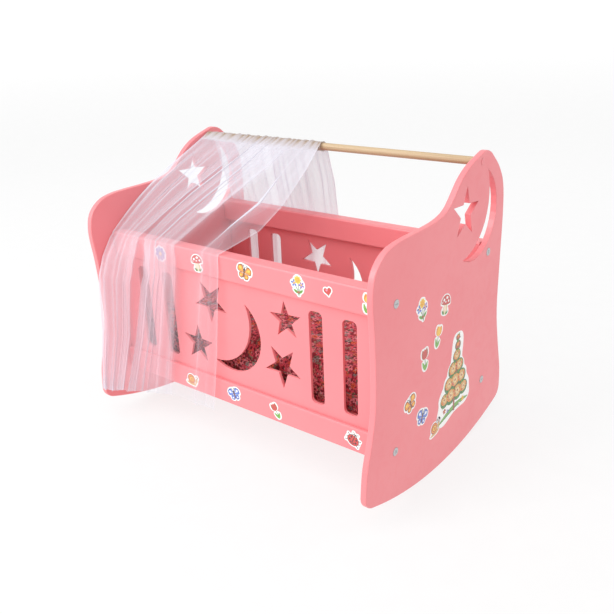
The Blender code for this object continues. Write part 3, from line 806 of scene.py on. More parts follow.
# %% Describe the folds
def wave(count, wander, drift, at):
    """The phase of a set of folds: how many there are, how unevenly they lie and how they drift."""
    uneven = (wander * np.sin(math.tau * 1.7 * share + drift)
              + 0.5 * wander * np.sin(math.tau * 4.3 * share + 2 * drift))
    shift = 0.35 * np.sin(2.1 * at + drift + 5 * share)
    return math.tau * (count * share + uneven) + shift


fold_stations = [0, 1, 2, 3]
fold_sets = [
    # folds, unevenness, drift, then depth in millimetres and lean, each at the rod, slope, rail and
    # hem, and how much painted shade darkens the hollows
    (8, 0.34, 0.4, (0.4, 3.4, 0.8, 4.6), (0.0, 1.35, 0.7, 1.2), 0.1),
    (19, 0.42, 1.9, (1.3, 1.7, 0.4, 0.8), (0.5, 1.25, 0.6, 0.65), 0.5),
    (64, 0.50, 3.3, (1.0, 0.15, 0.08, 0.05), (0.9, 0.3, 0.14, 0.08), 0.2),
]
cloth_run = 205 * mm


def folds(at, station):
    """How far out and how far sideways the folds push each thread, and how much painted shade it gets
    in the hollows between the finer folds. Station: 0 rod, 1 slope, 2 rail, 3 hem."""
    out = np.zeros(sheet_columns)
    aside = np.zeros(sheet_columns)
    # Painted shade for the hollows of the gathers, from an even share upwards
    painted_fold_shade = 0.35 * np.ones(sheet_columns)
    for count, wander, drift, depths, leans, shade in fold_sets:
        depth = np.interp(station, fold_stations, depths) * mm
        lean = np.interp(station, fold_stations, leans) * cloth_run / (count * 4 * math.pi)
        own = 0.35 + 0.65 * np.sin(math.tau * (0.37 * count * share + 0.13 * drift)) ** 2
        phase = wave(count, wander, drift, at)
        out += depth * own * (1 + np.cos(phase)) / 2
        aside -= lean * own * np.sin(2 * phase)
        painted_fold_shade += shade * ((1 - np.cos(phase)) / 2) ** 2
    edge = np.clip(np.minimum(share, 1 - share) / 0.03, 0, 1)
    return out, aside * edge, painted_fold_shade


print("folds:", " + ".join(str(count) for count, *_ in fold_sets))

# %% Find the cloth's base line on each side
over_rod, rail_round, over_rail = 1.5 * mm, 2 * mm, 3.2 * mm


def slope_of(side_sign):
    """Where the slope leaves the rod and meets the rail, as (outward, up), and its outward normal."""
    rod_middle = Vector((side_sign * (rod_y - side_middle_y), rod_z))
    corner = Vector((side_out - rail_round, side_top - rail_round))
    along = (corner - rod_middle).normalized()
    normal = Vector((-along.y, along.x))
    if normal.y < 0:
        normal = -normal
    return rod_middle + normal * (rod_radius + over_rod), corner + normal * over_rail, normal, corner


for side_sign, side in ((-1, "front"), (1, "back")):
    top, bend, *_ = slope_of(side_sign)
    print(side, "slope:", round((bend - top).length / mm), "mm from rod to rail")

# %% [markdown]
# Below the rail the cloth doesn't lie on the boards. It stands off them, more towards the hem and
# much more at the left, where it hangs in the open, than at the right. The rows are laid from the
# rod down: the slope, a tight bend over the rail, and the fall to the hem.

# %% Lay the rows of cloth
stand_off_heights = [0, 0.126, 0.243, 0.41, 0.61, 0.81, 0.94, 1.0]
front_stand_off = [1.0, 20.0, 30.0, 33.0, 36.0, 43.0, 47.0, 48.0]
back_stand_off = [0.5, 3.0, 5.0, 6.5, 8.0, 9.0, 9.5, 10.0]
# How much of that each thread takes, by its share of the width: the right edge hugs the boards
stand_off_shares = ([0, 0.2, 0.41, 0.52, 0.66, 0.79, 0.85, 1.0], [1, 0.92, 0.68, 0.52, 0.28, 0.10, 0.04, 0.0])


def thread_rows(side_sign, places, hem_z, stand_off, billow, steps):
    """Rows of the cloth on one side, from the rod to the hem: x, outward, up and painted fold shade for
    every column. The billow is how far the left edge stands up from the slope."""
    top, bend, normal, corner = slope_of(side_sign)
    slope_steps, fall_steps = steps
    bend_steps, sag, fold_drift = 6, 2.5 * mm, 0.6
    own_stand_off = np.interp(share, *stand_off_shares)
    own_billow = billow * np.clip(1 - share / 0.35, 0, 1) ** 1.5
    rows = []
    for t in np.linspace(0, 1, slope_steps):
        station = min(t / 0.35, 1) if t < 0.6 else 1 + (t - 0.6) / 0.4
        out, aside, painted_fold_shade = folds(fold_drift * t, station)
        lift = out - sag * math.sin(math.pi * t) + own_billow * math.sin(math.pi * t ** 1.3)
        line = top.lerp(bend, t)
        rows.append((start_x + between(places, t) + aside, line.x + lift * normal.x, line.y + lift * normal.y,
                     painted_fold_shade * max(0, 1 - 12 * t)))
    level = math.atan2(normal.y, normal.x)
    for angle in np.linspace(level, 0, bend_steps)[1:]:
        out, aside, _ = folds(fold_drift, 2)
        reach = over_rail + out
        rows.append((start_x + between(places, 1 + 0.02 * (1 - angle / level)) + aside,
                     corner.x + reach * math.cos(angle), corner.y + reach * math.sin(angle), 0 * share))
    for t in np.linspace(0, 1, fall_steps)[1:]:
        out, aside, _ = folds(fold_drift + 0.9 * t, 2 + t ** 0.7)
        away = np.interp(t, stand_off_heights, stand_off) * mm * own_stand_off + (1 + 3 * t) * mm
        rows.append((start_x + between(places, 1.02 + 0.98 * t) + aside, corner.x + over_rail + away + out,
                     np.full(sheet_columns, corner.y + (hem_z - corner.y) * t), 0 * share))
    return rows


front_rows = thread_rows(-1, front_places, front_hem_z, front_stand_off, 11 * mm, (56, 54))
back_rows = thread_rows(1, back_places, back_hem_z, back_stand_off, 0, (30, 44))
print("rows of cloth:", len(front_rows), "in front,", len(back_rows), "behind")

# %% [markdown]
# The casing joins the two halves: the cloth goes over the rod in an arc, and a second strip below
# closes the tunnel. Its gathers are tight and fine, because 33 cm of cloth is pushed together on
# 22 cm of rod.

# %% Weave the halves into one sheet
def casing_rows(start_angle, end_angle, count):
    """Rows round the rod from one angle to another, with the gathers standing up from it."""
    out, aside, painted_fold_shade = folds(0, 0)
    x = start_x + spread(front_places[0][1]) + aside
    reach = rod_radius + 0.5 * mm + out
    return [(x, rod_y + reach * math.cos(angle), rod_z + reach * math.sin(angle), painted_fold_shade)
            for angle in np.linspace(start_angle, end_angle, count)]


def in_row_frame(rows, side_sign):
    """Rows of one side with their distance outward turned into a y."""
    return [(x, side_middle_y + side_sign * out, up, painted_fold_shade) for x, out, up, painted_fold_shade in rows]


def point_grid(rows):
    """The rows as one array of points, kept off the head panel, and the array of their painted fold shade."""
    points = np.array([np.stack([x, y, z], axis=1) for x, y, z, _ in rows])
    points[:, :, 0] = np.maximum(points[:, :, 0], head_face + 0.5 * mm)
    return points, np.array([painted_fold_shade for *_, painted_fold_shade in rows])


def leaving_angle(side_sign):
    """Where on the rod the cloth leaves it for the slope of a side."""
    normal = slope_of(side_sign)[2]
    return math.atan2(normal.y, side_sign * normal.x)


arc_rows = casing_rows(leaving_angle(-1), leaving_angle(1), 12)
sheet_rows = in_row_frame(front_rows, -1)[::-1] + arc_rows[1:-1] + in_row_frame(back_rows, 1)
grid, painted_fold_shades = point_grid(sheet_rows)
print("sheet:", grid.shape[0], "x", grid.shape[1], "points")

# %% [markdown]
# Four facts about the cloth go into the mesh. The map gives each point its place on the flat cloth
# in metres, for the net. The others are attributes. The fullness says how many layers of tulle lie
# at a point because of pleats too fine to model: it is the width of flat cloth between two threads
# divided by the room that they have. Near the rod the pleats are finest, so it counts more there,
# and a hem is folded over, so it counts more too. The painted fold shade darkens the hollows of the
# gathers at the casing, and the painted pink bounce tints the tulle where it hangs before a pink
# board, in place of the light that the board throws back through it.

# %% Turn rows and columns into a mesh
flat_width, flat_length = 0.33, 0.80


def before_boards(points):
    """1 where the cloth hangs before a board, 0 on the slope and below the bottom rail."""
    height = points[:, :, 2]
    below_rail = np.clip((side_top + 4 * mm - height) / (24 * mm), 0, 1)
    return below_rail * np.clip((height - 52 * mm) / (22 * mm), 0, 1)


def grid_mesh(name, points, fullness, painted_fold_shades):
    """A mesh of rows and columns with a map in metres, a fullness, a painted fold shade and a painted
    pink bounce at each point, and the mean length of its threads."""
    row_count, column_count = points.shape[:2]
    number = np.arange(row_count * column_count).reshape(row_count, column_count)
    faces = np.stack([number[:-1, :-1], number[:-1, 1:], number[1:, 1:], number[1:, :-1]], axis=-1)
    mesh = bpy.data.meshes.new(name)
    mesh.from_pydata(points.reshape(-1, 3).tolist(), [], faces.reshape(-1, 4).tolist())
    steps = np.linalg.norm(np.diff(points, axis=0), axis=2).mean(axis=1)
    along = np.concatenate([[0], np.cumsum(steps)])
    flat = np.stack(np.meshgrid(np.linspace(0, flat_width, column_count), along), axis=-1).reshape(-1, 2)
    corners = np.empty(len(mesh.loops), int)
    mesh.loops.foreach_get("vertex_index", corners)
    mesh.uv_layers.new(name="cloth").data.foreach_set("uv", flat[corners].ravel())
    for label, values in (("fullness", fullness), ("painted_fold_shade", painted_fold_shades), ("painted_pink_bounce", before_boards(points))):
        mesh.attributes.new(label, "FLOAT", "POINT").data.foreach_set("value", values.ravel())
    mesh.shade_smooth()
    return mesh, along[-1]


# %% Measure the fullness and build the sheet
def smoothed(values, width):
    """A table whose rows are softened from end to end."""
    padded = np.pad(values, ((0, 0), (width // 2, width // 2)), mode="edge")
    return np.stack([soften(row, width) for row in padded])


room = np.gradient(smoothed(grid[:, :, 0], 31), axis=1)
cloth_between = flat_width / (sheet_columns - 1)
fullness = smoothed(np.clip(cloth_between / np.maximum(room, 1e-5), 0.35, 7), 15)
near_rod = np.ones(len(grid))
near_rod[:len(front_rows)] = np.linspace(0, 1, len(front_rows)) ** 3
near_rod[-len(back_rows):] = np.linspace(1, 0.6, len(back_rows))
fullness *= (1 + 2.1 * near_rod)[:, None]
# The first two hold for the hems, of two rows each, and the others for the side edges
for edge, thicker in ((np.s_[:2], 1.15), (np.s_[-2:], 1.15), (np.s_[:, -3:], 1.5), (np.s_[:, :3], 1.5)):
    fullness[edge] *= thicker
hanging = np.interp(share, [0, 0.7, 0.8, 1], [1.75, 1.75, 1.1, 1.0])
fullness *= 1 + before_boards(grid) * (hanging - 1)
fullness += 5 * (painted_fold_shades > 0)
canopy_mesh, thread_length = grid_mesh("tulle_canopy", grid, fullness, painted_fold_shades)
canopy = set_out("tulle_canopy", canopy_mesh)
print("thread length:", round(float(thread_length), 3), "m; fullness", round(float(fullness.min()), 2), "to",
      round(float(fullness.max()), 2))

# %% Close the casing below the rod
under_grid, strip_painted_fold_shades = point_grid(casing_rows(leaving_angle(1), leaving_angle(-1) - math.tau, 14))
casing_mesh, _ = grid_mesh("canopy_casing_strip", under_grid, np.full(under_grid.shape[:2], 6.0), strip_painted_fold_shades)
casing_strip = set_out("canopy_casing_strip", casing_mesh)
print("casing strip:", len(casing_mesh.polygons), "faces")

# %% [markdown]
# ## Tulle
#
# Tulle is a knitted net of six-sided holes about a millimetre wide. Three waves at 60 degrees to
# each other add up to exactly such a pattern. Its threads are fine and shiny and catch the light
# at a low angle, which is what sheen does. For the see-through part, one layer lets most light
# past: if it lets a share past, then as many layers as the fullness lets that share past to that
# power, so the power goes into the alpha.
#
# Light that the pink boards throw back shines through real tulle and warms it. Alpha only lets the
# eye through, so the cloth that hangs before the boards gets a painted pink bounce of that light
# instead. The emission paints the light that passes through the net as a glow, and the hollows of
# the casing's gathers get painted shade.

# %% Make the shared net
tulle_net, way_in, way_out = new_group("tulle_net", {"Place": None, "Hole": 1.1 * mm}, ["Thread"])
tree = tulle_net
net = 0.0
for degrees in (0, 60, 120):
    direction = (math.cos(math.radians(degrees)), math.sin(math.radians(degrees)), 0)
    along = combine(tree, "DOT_PRODUCT", way_in["Place"], direction, result="Value")
    turns = calculate(tree, "MULTIPLY", calculate(tree, "DIVIDE", along, way_in["Hole"]), math.tau * 1.1547)
    net = calculate(tree, "ADD", net, calculate(tree, "COSINE", turns))
connect(tree, way_out, {"Thread": fade(tree, net, 0.2, -0.9)})

# %% Dye the tulle
sheer_tulle, tree, shader = new_material("sheer_tulle")
on_cloth = add_node(tree, "UVMap", {"uv_map": "cloth"}).outputs[0]
thread = place_group(tree, tulle_net, Place=on_cloth)["Thread"]
layers_here, painted_fold_shade, painted_pink_bounce = (add_node(tree, "Attribute", {"attribute_name": label}).outputs["Fac"]
                              for label in ("fullness", "painted_fold_shade", "painted_pink_bounce"))
one_layer = calculate(tree, "MULTIPLY_ADD", thread, 0.22, 0.10)
past_one = calculate(tree, "SUBTRACT", 1.0, one_layer)
past_all = calculate(tree, "POWER", past_one, layers_here)
cover = calculate(tree, "SUBTRACT", 1.0, past_all, clamp=True)
tulle_tone = blend_colours(tree, blotches(tree, on_cloth, 14.0, 3.0), (0.47, 0.46, 0.52, 1), (0.53, 0.52, 0.57, 1))
# A painted pink bounce tints the cloth that hangs before the boards, standing in for their reflected light
tulle_tone = blend_colours(tree, painted_pink_bounce, tulle_tone, (0.54, 0.42, 0.47, 1))
# Painted shade darkens the hollows of the gathers near the rod and round the casing
tulle_tone = blend_colours(tree, painted_fold_shade, tulle_tone, (0.26, 0.17, 0.09, 1))
tulle_rough = fade(tree, thread, 0.0, 1.0, 0.75, 0.55)
tulle_bump = raised(tree, thread, 0.25, 0.15 * mm)
# The emission is painted light: the tulle glows in its own tone in place of light passing through the net
feed(shader, Base_Color=tulle_tone, Alpha=cover, Roughness=tulle_rough, Normal=tulle_bump, Sheen_Weight=0.3,
     Sheen_Roughness=0.4, Emission_Color=tulle_tone, Emission_Strength=0.5)
for piece in (canopy, casing_strip):
    piece.data.materials.append(sheer_tulle)
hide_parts("canopy_front_drop", "canopy_back_drop", "canopy_casing")
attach(canopy, "canopy")
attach(casing_strip, "canopy")

# %% [markdown]
# ## Stickers
#
# Small printed stickers of thin vinyl decorate the front rails and the foot panel. Each is cut
# round its motif with a white margin. They could be flat pictures, but drawn shapes stay sharp at
# any distance. A motif is a list of outlines in millimetres with a colour each, painted one over
# the other like cut paper, so flowers, butterflies and toadstools take a few lines each.

# %% Write the outlines that motifs are made of
def leaned(x, y, lean, outline):
    """An outline leaned by degrees and moved to its place."""
    cosine, sine = math.cos(math.radians(lean)), math.sin(math.radians(lean))
    return [(x + across * cosine - up * sine, y + across * sine + up * cosine) for across, up in outline]


def disc(x, y, half_width, half_height=None, lean=0):
    """A round shape, or an oval one where a half height is given."""
    half_height = half_height or half_width
    return leaned(x, y, lean, [(half_width * math.cos(turn), half_height * math.sin(turn))
                               for turn in np.linspace(0, math.tau, 28, endpoint=False)])


def leaf(x, y, length, width, lean, fullest=0.45):
    """A leaf or petal that grows from a point, leaned from upright, and where it is fullest."""
    power = math.log(0.5) / math.log(fullest)
    right = [(width / 2 * math.sin(math.pi * along ** power) ** 0.8, along * length)
             for along in np.linspace(0, 1, 12)]
    return leaned(x, y, lean, right + [(-across, up) for across, up in right[-2:0:-1]])


def stem(places, width):
    """A stroke of even width along a bent line."""
    places = [Vector(place) for place in places]
    left, right = [], []
    for index, place in enumerate(places):
        ahead = (places[min(index + 1, len(places) - 1)] - places[max(index - 1, 0)]).normalized()
        aside = Vector((-ahead.y, ahead.x)) * width / 2
        left.append(tuple(place + aside))
        right.append(tuple(place - aside))
    return left + right[::-1]


def petals(x, y, count, length, width, start=0, inner=0.0):
    """Petals set in a ring round a point."""
    ring = []
    for number in range(count):
        lean = start + 360 * number / count
        root = (x - inner * math.sin(math.radians(lean)), y + inner * math.cos(math.radians(lean)))
        ring.append(leaf(*root, length, width, lean, 0.6))
    return ring


def heart(x, y, size):
    outline = []
    for turn in np.linspace(0, math.tau, 48, endpoint=False):
        up = 13 * math.cos(turn) - 5 * math.cos(2 * turn) - 2 * math.cos(3 * turn) - math.cos(4 * turn)
        outline.append((x + size * math.sin(turn) ** 3, y + size * up / 16))
    return outline


print("a disc of", len(disc(0, 0, 1)), "points and a leaf of", len(leaf(0, 0, 1, 1, 0)))

# %% [markdown]
# The colours are those of cheap bright printing: warm yellow and orange, leaf green, sky blue,
# violet and brick red, each with a darker mate for lines and shade.

# %% Mix the inks and draw a flower
inks = {ink: screen_colour(*levels)[:3] for ink, levels in {
    "white": (250, 248, 246), "yellow": (246, 200, 64), "orange": (236, 146, 44), "brown": (128, 74, 34),
    "dark": (58, 38, 44), "red": (204, 56, 50), "brick": (176, 84, 60), "green": (112, 172, 58),
    "deep green": (58, 118, 52), "blue": (92, 128, 214), "deep blue": (52, 72, 158), "violet": (146, 106, 190),
    "tan": (216, 172, 108), "sand": (236, 208, 150), "pink": (240, 150, 178), "skin": (246, 222, 196)}.items()}


def cut(ink, *outlines):
    """Outlines cut from paper of one ink."""
    return [(ink, outline) for outline in outlines]


def flower(x, y, size, ink, shade, count=6, start=0):
    """A round flower with a darker ring and a yellow heart."""
    return (cut(ink, *petals(x, y, count, size, 0.62 * size, start, 0.1 * size))
            + cut(shade, *petals(x, y, count, 0.62 * size, 0.16 * size, start, 0.12 * size))
            + cut("orange", disc(x, y, 0.30 * size))
            + cut("yellow", disc(x - 0.03 * size, y + 0.04 * size, 0.21 * size)))


print("inks:", ", ".join(inks))

# %% [markdown]
# Butterflies and ladybirds are alike on both sides, so a loop over two signs draws each half. What
# is drawn later lies on top, such as a snail's whorls, each a little smaller than the one below.

# %% Draw the creatures
def butterfly(ink, shade, spot):
    motif = []
    for sign in (1, -1):
        motif += cut(shade, leaf(0, 0.5, 11, 9.5, -56 * sign, 0.66), leaf(0, 0, 8, 7, -128 * sign, 0.62))
        motif += cut(ink, leaf(0.7 * sign, 0.8, 9.4, 7.4, -56 * sign, 0.66),
                     leaf(0.7 * sign, -0.3, 6.4, 5.0, -128 * sign, 0.62))
        motif += cut(spot, disc(5.8 * sign, 4.7, 1.5, 1.9, -56 * sign), disc(3.9 * sign, -3.2, 1.1),
                     disc(3.2 * sign, 3.2, 0.7))
        motif += cut("dark", stem([(0, 4.6), (0.7 * sign, 7.0), (2.2 * sign, 8.6)], 0.5),
                     disc(2.3 * sign, 8.7, 0.6))
    return motif + cut("brown", disc(0, 0.2, 0.95, 5.2)) + cut("dark", disc(0, 4.4, 1.2))


def ladybird():
    motif = cut("dark", disc(0, 5.6, 3.6, 3.0), disc(0, -0.6, 8.4, 7.2))
    for sign in (1, -1):
        motif += cut("dark", stem([(1.4 * sign, 7.4), (2.6 * sign, 9.6), (4.2 * sign, 10.4)], 0.6),
                     *[stem([(6.6 * sign, y), (10.2 * sign, y + bend)], 0.9)
                       for y, bend in ((3.0, 1.8), (-0.8, 0), (-4.4, -1.8))])
        motif += cut("white", disc(1.7 * sign, 6.7, 0.8, 0.9))
    motif += cut("red", disc(0, -0.8, 7.8, 6.6)) + cut("dark", leaf(0, 6.0, 13.4, 1.1, 180))
    spots = [(3.8, 2.2, 1.3), (4.6, -2.2, 1.4), (1.9, -4.6, 1.0),
             (-3.6, 2.4, 1.3), (-4.8, -1.9, 1.4), (-2.0, -4.7, 1.0)]
    return motif + cut("dark", *[disc(*spot) for spot in spots])


def snail():
    motif = cut("tan", leaf(8.5, -5.6, 19, 5.0, 92, 0.4), leaf(7.0, -5.4, 9.5, 4.4, -12, 0.6))
    motif += cut("brown", stem([(8.2, 2.6), (7.6, 6.2)], 0.6), stem([(9.6, 2.4), (10.6, 5.8)], 0.6),
                 disc(7.6, 6.4, 0.8), disc(10.7, 6.0, 0.8))
    for ink, *whorl in (("brick", -1.0, 0.6, 6.8, 6.6), ("orange", -0.8, 0.6, 5.7, 5.4),
                        ("brick", -0.6, 0.5, 4.3, 4.1), ("yellow", -0.4, 0.4, 3.3, 3.0),
                        ("brick", -0.1, 0.2, 1.8, 1.6), ("orange", 0.1, 0.1, 0.9, 0.8)):
        motif += cut(ink, disc(*whorl))
    return motif


# %% Draw the plants
def toadstool(ink, shade):
    cap = [(10 * math.cos(turn), 1.0 + (9.0 if turn < math.pi else 2.4) * math.sin(turn))
           for turn in np.linspace(0, math.tau, 44, endpoint=False)]
    motif = cut("tan", leaf(0, -12.0, 15.5, 9.0, 0, 0.36)) + cut("skin", leaf(-0.5, -11.4, 14.5, 6.8, 0, 0.36))
    motif += cut(shade, cap) + cut(ink, [(x * 0.94 - 0.2, y * 0.93 + 0.7) for x, y in cap])
    motif += cut("white", disc(-4.6, 4.4, 1.9, 1.6, 24), disc(1.6, 6.6, 2.2, 1.5), disc(5.6, 2.9, 1.5, 1.4, -20),
                 disc(-0.6, 2.2, 1.3, 1.0), disc(-7.4, 1.6, 0.9, 1.0))
    motif += cut("deep green", leaf(-2.5, -12.2, 7, 2.2, 40), leaf(2.6, -12.2, 6, 2.0, -44))
    return motif + cut("green", leaf(-1.5, -12.2, 5.2, 1.8, 16), leaf(1.6, -12.2, 4.6, 1.8, -20))


def posy():
    stalks = [(-1.2, -4), (-4.5, 3)], [(0.6, -2), (0.8, 6)], [(2.6, -4), (5.2, 1)]
    motif = cut("deep green", *[stem([(0, -12), *stalk], 0.9) for stalk in stalks])
    motif += cut("green", leaf(-0.5, -9, 8.5, 3.4, 52), leaf(0.6, -9, 8.0, 3.2, -56))
    motif += cut("deep green", leaf(-0.9, -8.7, 6.5, 0.7, 52), leaf(1.0, -8.7, 6.0, 0.7, -56))
    motif += flower(-5.0, 3.4, 4.4, "blue", "deep blue", 5) + flower(5.6, 1.4, 4.0, "violet", "deep blue", 5, 20)
    motif += flower(0.8, 7.2, 4.9, "yellow", "orange", 8)
    return motif + cut("brick", stem([(-1.9, -7.6), (2.1, -7.4)], 1.9))


def tulip(ink, shade):
    motif = cut("deep green", stem([(0, -12), (0.5, -6), (0, 1)], 1.1))
    motif += cut("green", leaf(0, -11.6, 11, 3.6, 24), leaf(0.2, -11.6, 9.5, 3.4, -28))
    motif += cut(shade, leaf(-1.0, 0.2, 11.0, 6.4, 16, 0.42), leaf(1.0, 0.2, 11.0, 6.4, -16, 0.42))
    return motif + cut(ink, leaf(0, 0, 10.6, 6.6, 0, 0.40)) + cut(shade, leaf(0, 1.2, 7.0, 0.6, 0))


# %% Draw the large tree
def flowering_tree():
    """A tall autumn tree full of fruit on a green hill."""
    hill = [(x, -52 + 9 * math.cos((x - 4) / 27) + 0.16 * x) for x in np.linspace(-38, 40, 30)]
    motif = cut("deep green", hill + [(x, y - 7 * (1 - (x / 42) ** 2) - 0.6) for x, y in hill[::-1]])
    motif += cut("green", [(x, y - 0.5) for x, y in hill] + [(x, y - 4.6 * (1 - (x / 42) ** 2) - 0.8)
                                                             for x, y in hill[::-1]])
    crown = [(-25, -29, 11), (25, -26, 11), (-9, -28, 13), (9, -27, 13), (-16, -10, 12), (17, -8, 12), (0, -9, 13),
             (-8, 9, 12), (9, 10, 11), (0, 26, 10), (1, 40, 7.5), (0, 51, 5)]
    motif += cut("deep green", *[disc(x, y, size, 0.92 * size) for x, y, size in crown])
    motif += cut("brown", stem([(2, -52), (0, -34), (1, -8), (0, 34)], 4.2),
                 stem([(0, -30), (-14, -18), (-22, -14)], 2.4), stem([(0, -28), (13, -16), (21, -12)], 2.4),
                 stem([(0, -4), (-8, 6), (-12, 12)], 1.8), stem([(0, -2), (9, 8), (13, 14)], 1.8))
    motif += cut("brick", stem([(1.4, -50), (-0.4, -34), (0.4, -8), (0, 30)], 1.8))
    motif += cut("orange", *[disc(x - 0.5, y + 1.6, 0.80 * size, 0.66 * size) for x, y, size in crown[:-2]])
    for ink, count, length, width in (("tan", 9, 0.66, 0.30), ("sand", 7, 0.40, 0.20), ("brick", 5, 0.16, 0.12)):
        for number, (x, y, size) in enumerate(crown[:-2]):
            motif += cut(ink, *petals(x - 0.5, y + 1.6, count, length * size, width * size, 17 * number))
    motif += cut("brick", *[disc(x, y + 0.8, 0.8 * size, 0.74 * size) for x, y, size in crown[-2:]])
    motif += cut("orange", *[disc(x - 0.6, y + 1.6, 0.45 * size, 0.34 * size) for x, y, size in crown[-2:]])
    chance = np.random.default_rng(5)
    for x, y, size in crown:
        for number in range(6):
            angle = math.tau * number / 6 + chance.uniform(0, 0.8)
            reach = size * chance.uniform(0.45, 0.76)
            spot = (x + reach * math.cos(angle), y + 0.9 * reach * math.sin(angle))
            if number % 3 == 0:
                motif += cut("red", disc(*spot, 1.5)) + cut("skin", disc(spot[0] - 0.4, spot[1] + 0.5, 0.4))
            elif number % 3 == 1:
                motif += cut("green", leaf(*spot, 4.4, 2.0, math.degrees(angle) - 90))
            else:
                motif += cut("brown", leaf(*spot, 3.4, 1.2, math.degrees(angle) - 60))
    motif += flower(-24, -44, 3.6, "red", "brick", 5) + flower(25, -43, 3.8, "yellow", "orange", 6)
    return motif + flower(16, -48, 2.8, "white", "blue", 6) + flower(-15, -47, 2.6, "blue", "deep blue", 5)


motifs = {
    "butterfly": butterfly("orange", "brown", "yellow"),
    "blue_butterfly": butterfly("blue", "deep blue", "white"),
    "toadstool": toadstool("red", "brick"), "ladybird": ladybird(), "posy": posy(), "snail": snail(),
    "tulip": tulip("yellow", "orange"), "red_tulip": tulip("red", "brick"),
    "daisy": flower(0, 0, 7.0, "violet", "deep blue", 8),
    "heart": cut("brick", heart(0, 0, 7)) + cut("red", heart(0, 0.1, 6)) + cut("pink", heart(-1.6, 1.6, 1.9)),
    "tree": flowering_tree(),
}
print("motifs:", len(motifs), "with", sum(len(motif) for motif in motifs.values()), "shapes")

# %% [markdown]
# A cutting plotter follows the motif at a small distance. Seen from the motif's middle, the cut
# lies a margin beyond the farthest point in each direction, and the knife rounds its corners. The
# sticker's body is a thin slab of that outline, and each shape of the motif is a very thin layer
# on it. The ink goes into the mesh as a colour for each face.

# %% Cut the stickers out
def sides_of(outline):
    """Each corner of an outline with the next one."""
    return zip(outline, outline[1:] + outline[:1])


def cut_line(motif, margin):
    """The outline of the white sticker round a motif."""
    directions = np.linspace(0, math.tau, 120, endpoint=False)
    reach = np.zeros(len(directions))
    for _, outline in motif:
        for (x0, y0), (x1, y1) in sides_of(outline):
            for part in np.linspace(0, 1, 6):
                x, y = x0 + (x1 - x0) * part, y0 + (y1 - y0) * part
                place = round(math.atan2(y, x) / math.tau * len(directions)) % len(directions)
                reach[place] = max(reach[place], math.hypot(x, y))
    reach = np.max([np.roll(reach, shift) for shift in range(-3, 4)], axis=0)
    reach = soften(np.concatenate([reach[-4:], reach, reach[:4]]), 9) + margin
    return [(r * math.cos(turn), r * math.sin(turn)) for r, turn in zip(reach, directions)]


def stacking(motif):
    """The layer of each shape: one above the shapes of other inks that it covers."""
    layers, boxes = [], []
    for ink, outline in motif:
        xs, ys = zip(*outline)
        left, right, low, high = min(xs), max(xs), min(ys), max(ys)
        covered = [layer for layer, (other, _), box in zip(layers, motif, boxes) if other != ink
                   and left < box[1] and right > box[0] and low < box[3] and high > box[2]]
        layers.append(1 + max(covered, default=0))
        boxes.append((left, right, low, high))
    return layers


def sticker_mesh(name, motif, size):
    """A sticker in its own plane, X across and Y up, with its back at height zero."""
    margin, thickness, step, apart = 1.3, 0.16, 0.03, 0.0005
    shape = bmesh.new()
    ink_layer = shape.faces.layers.float_vector.new("ink")

    def layer(outline, height, ink):
        face = shape.faces.new([shape.verts.new((x * size * mm, y * size * mm, height * mm)) for x, y in outline])
        if sum(x0 * y1 - x1 * y0 for (x0, y0), (x1, y1) in sides_of(outline)) < 0:
            face.normal_flip()
        face[ink_layer] = inks[ink]
        return face

    top = layer(cut_line(motif, margin / size), thickness, "white")
    foot = [shape.verts.new((vert.co.x * 1.004, vert.co.y * 1.004, 0)) for vert in top.verts]
    for side in range(len(foot)):
        wall = shape.faces.new((foot[side - 1], foot[side], top.verts[side], top.verts[side - 1]))
        wall[ink_layer] = inks["white"]
    for number, (level, (ink, outline)) in enumerate(zip(stacking(motif), motif)):
        layer(outline, thickness + step * level + apart * number, ink)
    return mesh_from(shape, name, smooth=False)


# %% [markdown]
# Printed vinyl is glossy with a soft, slightly uneven surface, and close up its colours break into
# a fine grain of dots. The white margin is the bare film.

# %% Print on vinyl
sticker_vinyl, tree, shader = new_material("sticker_vinyl")
place = own_place(tree)
ink = add_node(tree, "Attribute", {"attribute_name": "ink"}).outputs["Color"]
dots = add_node(tree, "TexVoronoi", {"voronoi_dimensions": "2D"}, Vector=place, Scale=2600.0,
                Randomness=0.15).outputs["Distance"]
dotted = calculate(tree, "MULTIPLY", fade(tree, dots, 0.25, 0.6), 0.10)
printed = blend_colours(tree, dotted, ink, (0.96, 0.95, 0.93, 1))
worn = calculate(tree, "MULTIPLY", fade(tree, blotches(tree, place, 900.0, 2.0), 0.5, 0.8), 0.14)
vinyl_colour = blend_colours(tree, worn, printed, (0.30, 0.24, 0.22, 1))
vinyl_gloss = fade(tree, blotches(tree, place, 160.0, 2.0), 0.3, 0.7, 0.26, 0.4)
vinyl_bump = raised(tree, blotches(tree, place, 120.0, 1.0), 0.2, 0.05 * mm)
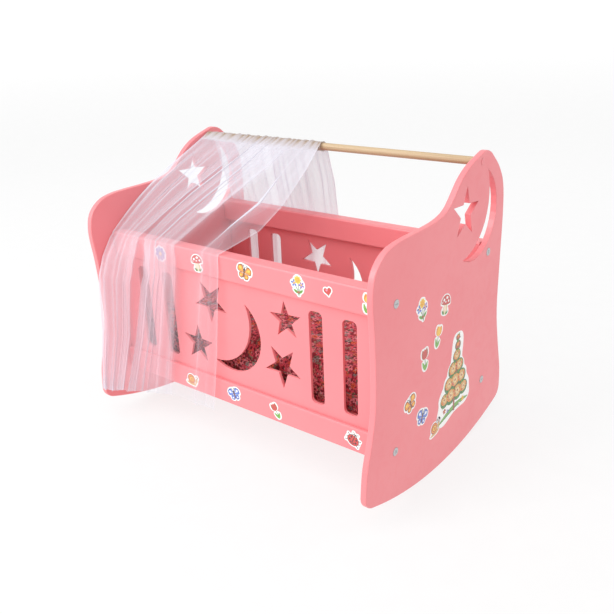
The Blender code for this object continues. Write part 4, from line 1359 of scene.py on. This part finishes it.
feed(shader, Base_Color=vinyl_colour, Roughness=vinyl_gloss, Normal=vinyl_bump, Coat_Weight=0.3,
     Coat_Roughness=0.2)

# %% Stick them on
front_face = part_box("front_top_rail")[0].y
foot_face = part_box("foot_end_panel")[1].x
top_line, low_line = (sum(corner.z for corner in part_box(f"front_{place}_rail")) / 2 / mm
                      for place in ("top", "bottom"))
sticker_places = [
    # motif, face, across and up in millimetres, turn in degrees, size
    ("daisy", "front", -128, top_line, 12, 1.3),
    ("toadstool", "front", -58, top_line, 8, 0.98),
    ("butterfly", "front", 24, top_line + 0.5, -14, 1.18),
    ("posy", "front", 108, top_line + 1, 6, 1.0),
    ("heart", "front", 151, top_line + 3, 14, 0.78),
    ("tulip", "front", 204, top_line, -10, 0.98),
    ("snail", "front", -92, low_line, -6, 1.05),
    ("blue_butterfly", "front", -10, low_line + 0.5, 20, 1.1),
    ("red_tulip", "front", 62, low_line, 32, 0.95),
    ("ladybird", "front", 182, low_line, -24, 1.0),
    ("posy", "foot", -52, 232, 10, 1.15),
    ("toadstool", "foot", 2, 222, -12, 1.1),
    ("red_tulip", "foot", -44, 168, 4, 1.25),
    ("tulip", "foot", -14, 186, -16, 1.2),
    ("tree", "foot", 34, 116, -4, 0.98),
    ("butterfly", "foot", -74, 122, 24, 1.25),
    ("blue_butterfly", "foot", -48, 92, -18, 1.25),
    ("snail", "foot", -16, 62, 8, 1.15),
]
film_sunk = 0.02 * mm
upright = Matrix.Rotation(math.radians(90), 4, "X")
to_foot_end = Matrix.Rotation(math.radians(90), 4, "Z")
for number, (motif, face, across, up, turn, size) in enumerate(sticker_places):
    sticker = set_out(f"sticker_{number + 1:02d}_{motif}", sticker_mesh(motif, motifs[motif], size))
    if face == "front":
        stand = Matrix.Translation((across * mm, front_face - film_sunk, up * mm)) @ upright
    else:
        stand = Matrix.Translation((foot_face + film_sunk, across * mm, up * mm)) @ to_foot_end @ upright
    sticker.matrix_world = stand @ Matrix.Rotation(math.radians(turn), 4, "Z")
    sticker.data.materials.append(sticker_vinyl)
    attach(sticker, "cradle")
print("stickers:", len(sticker_places))
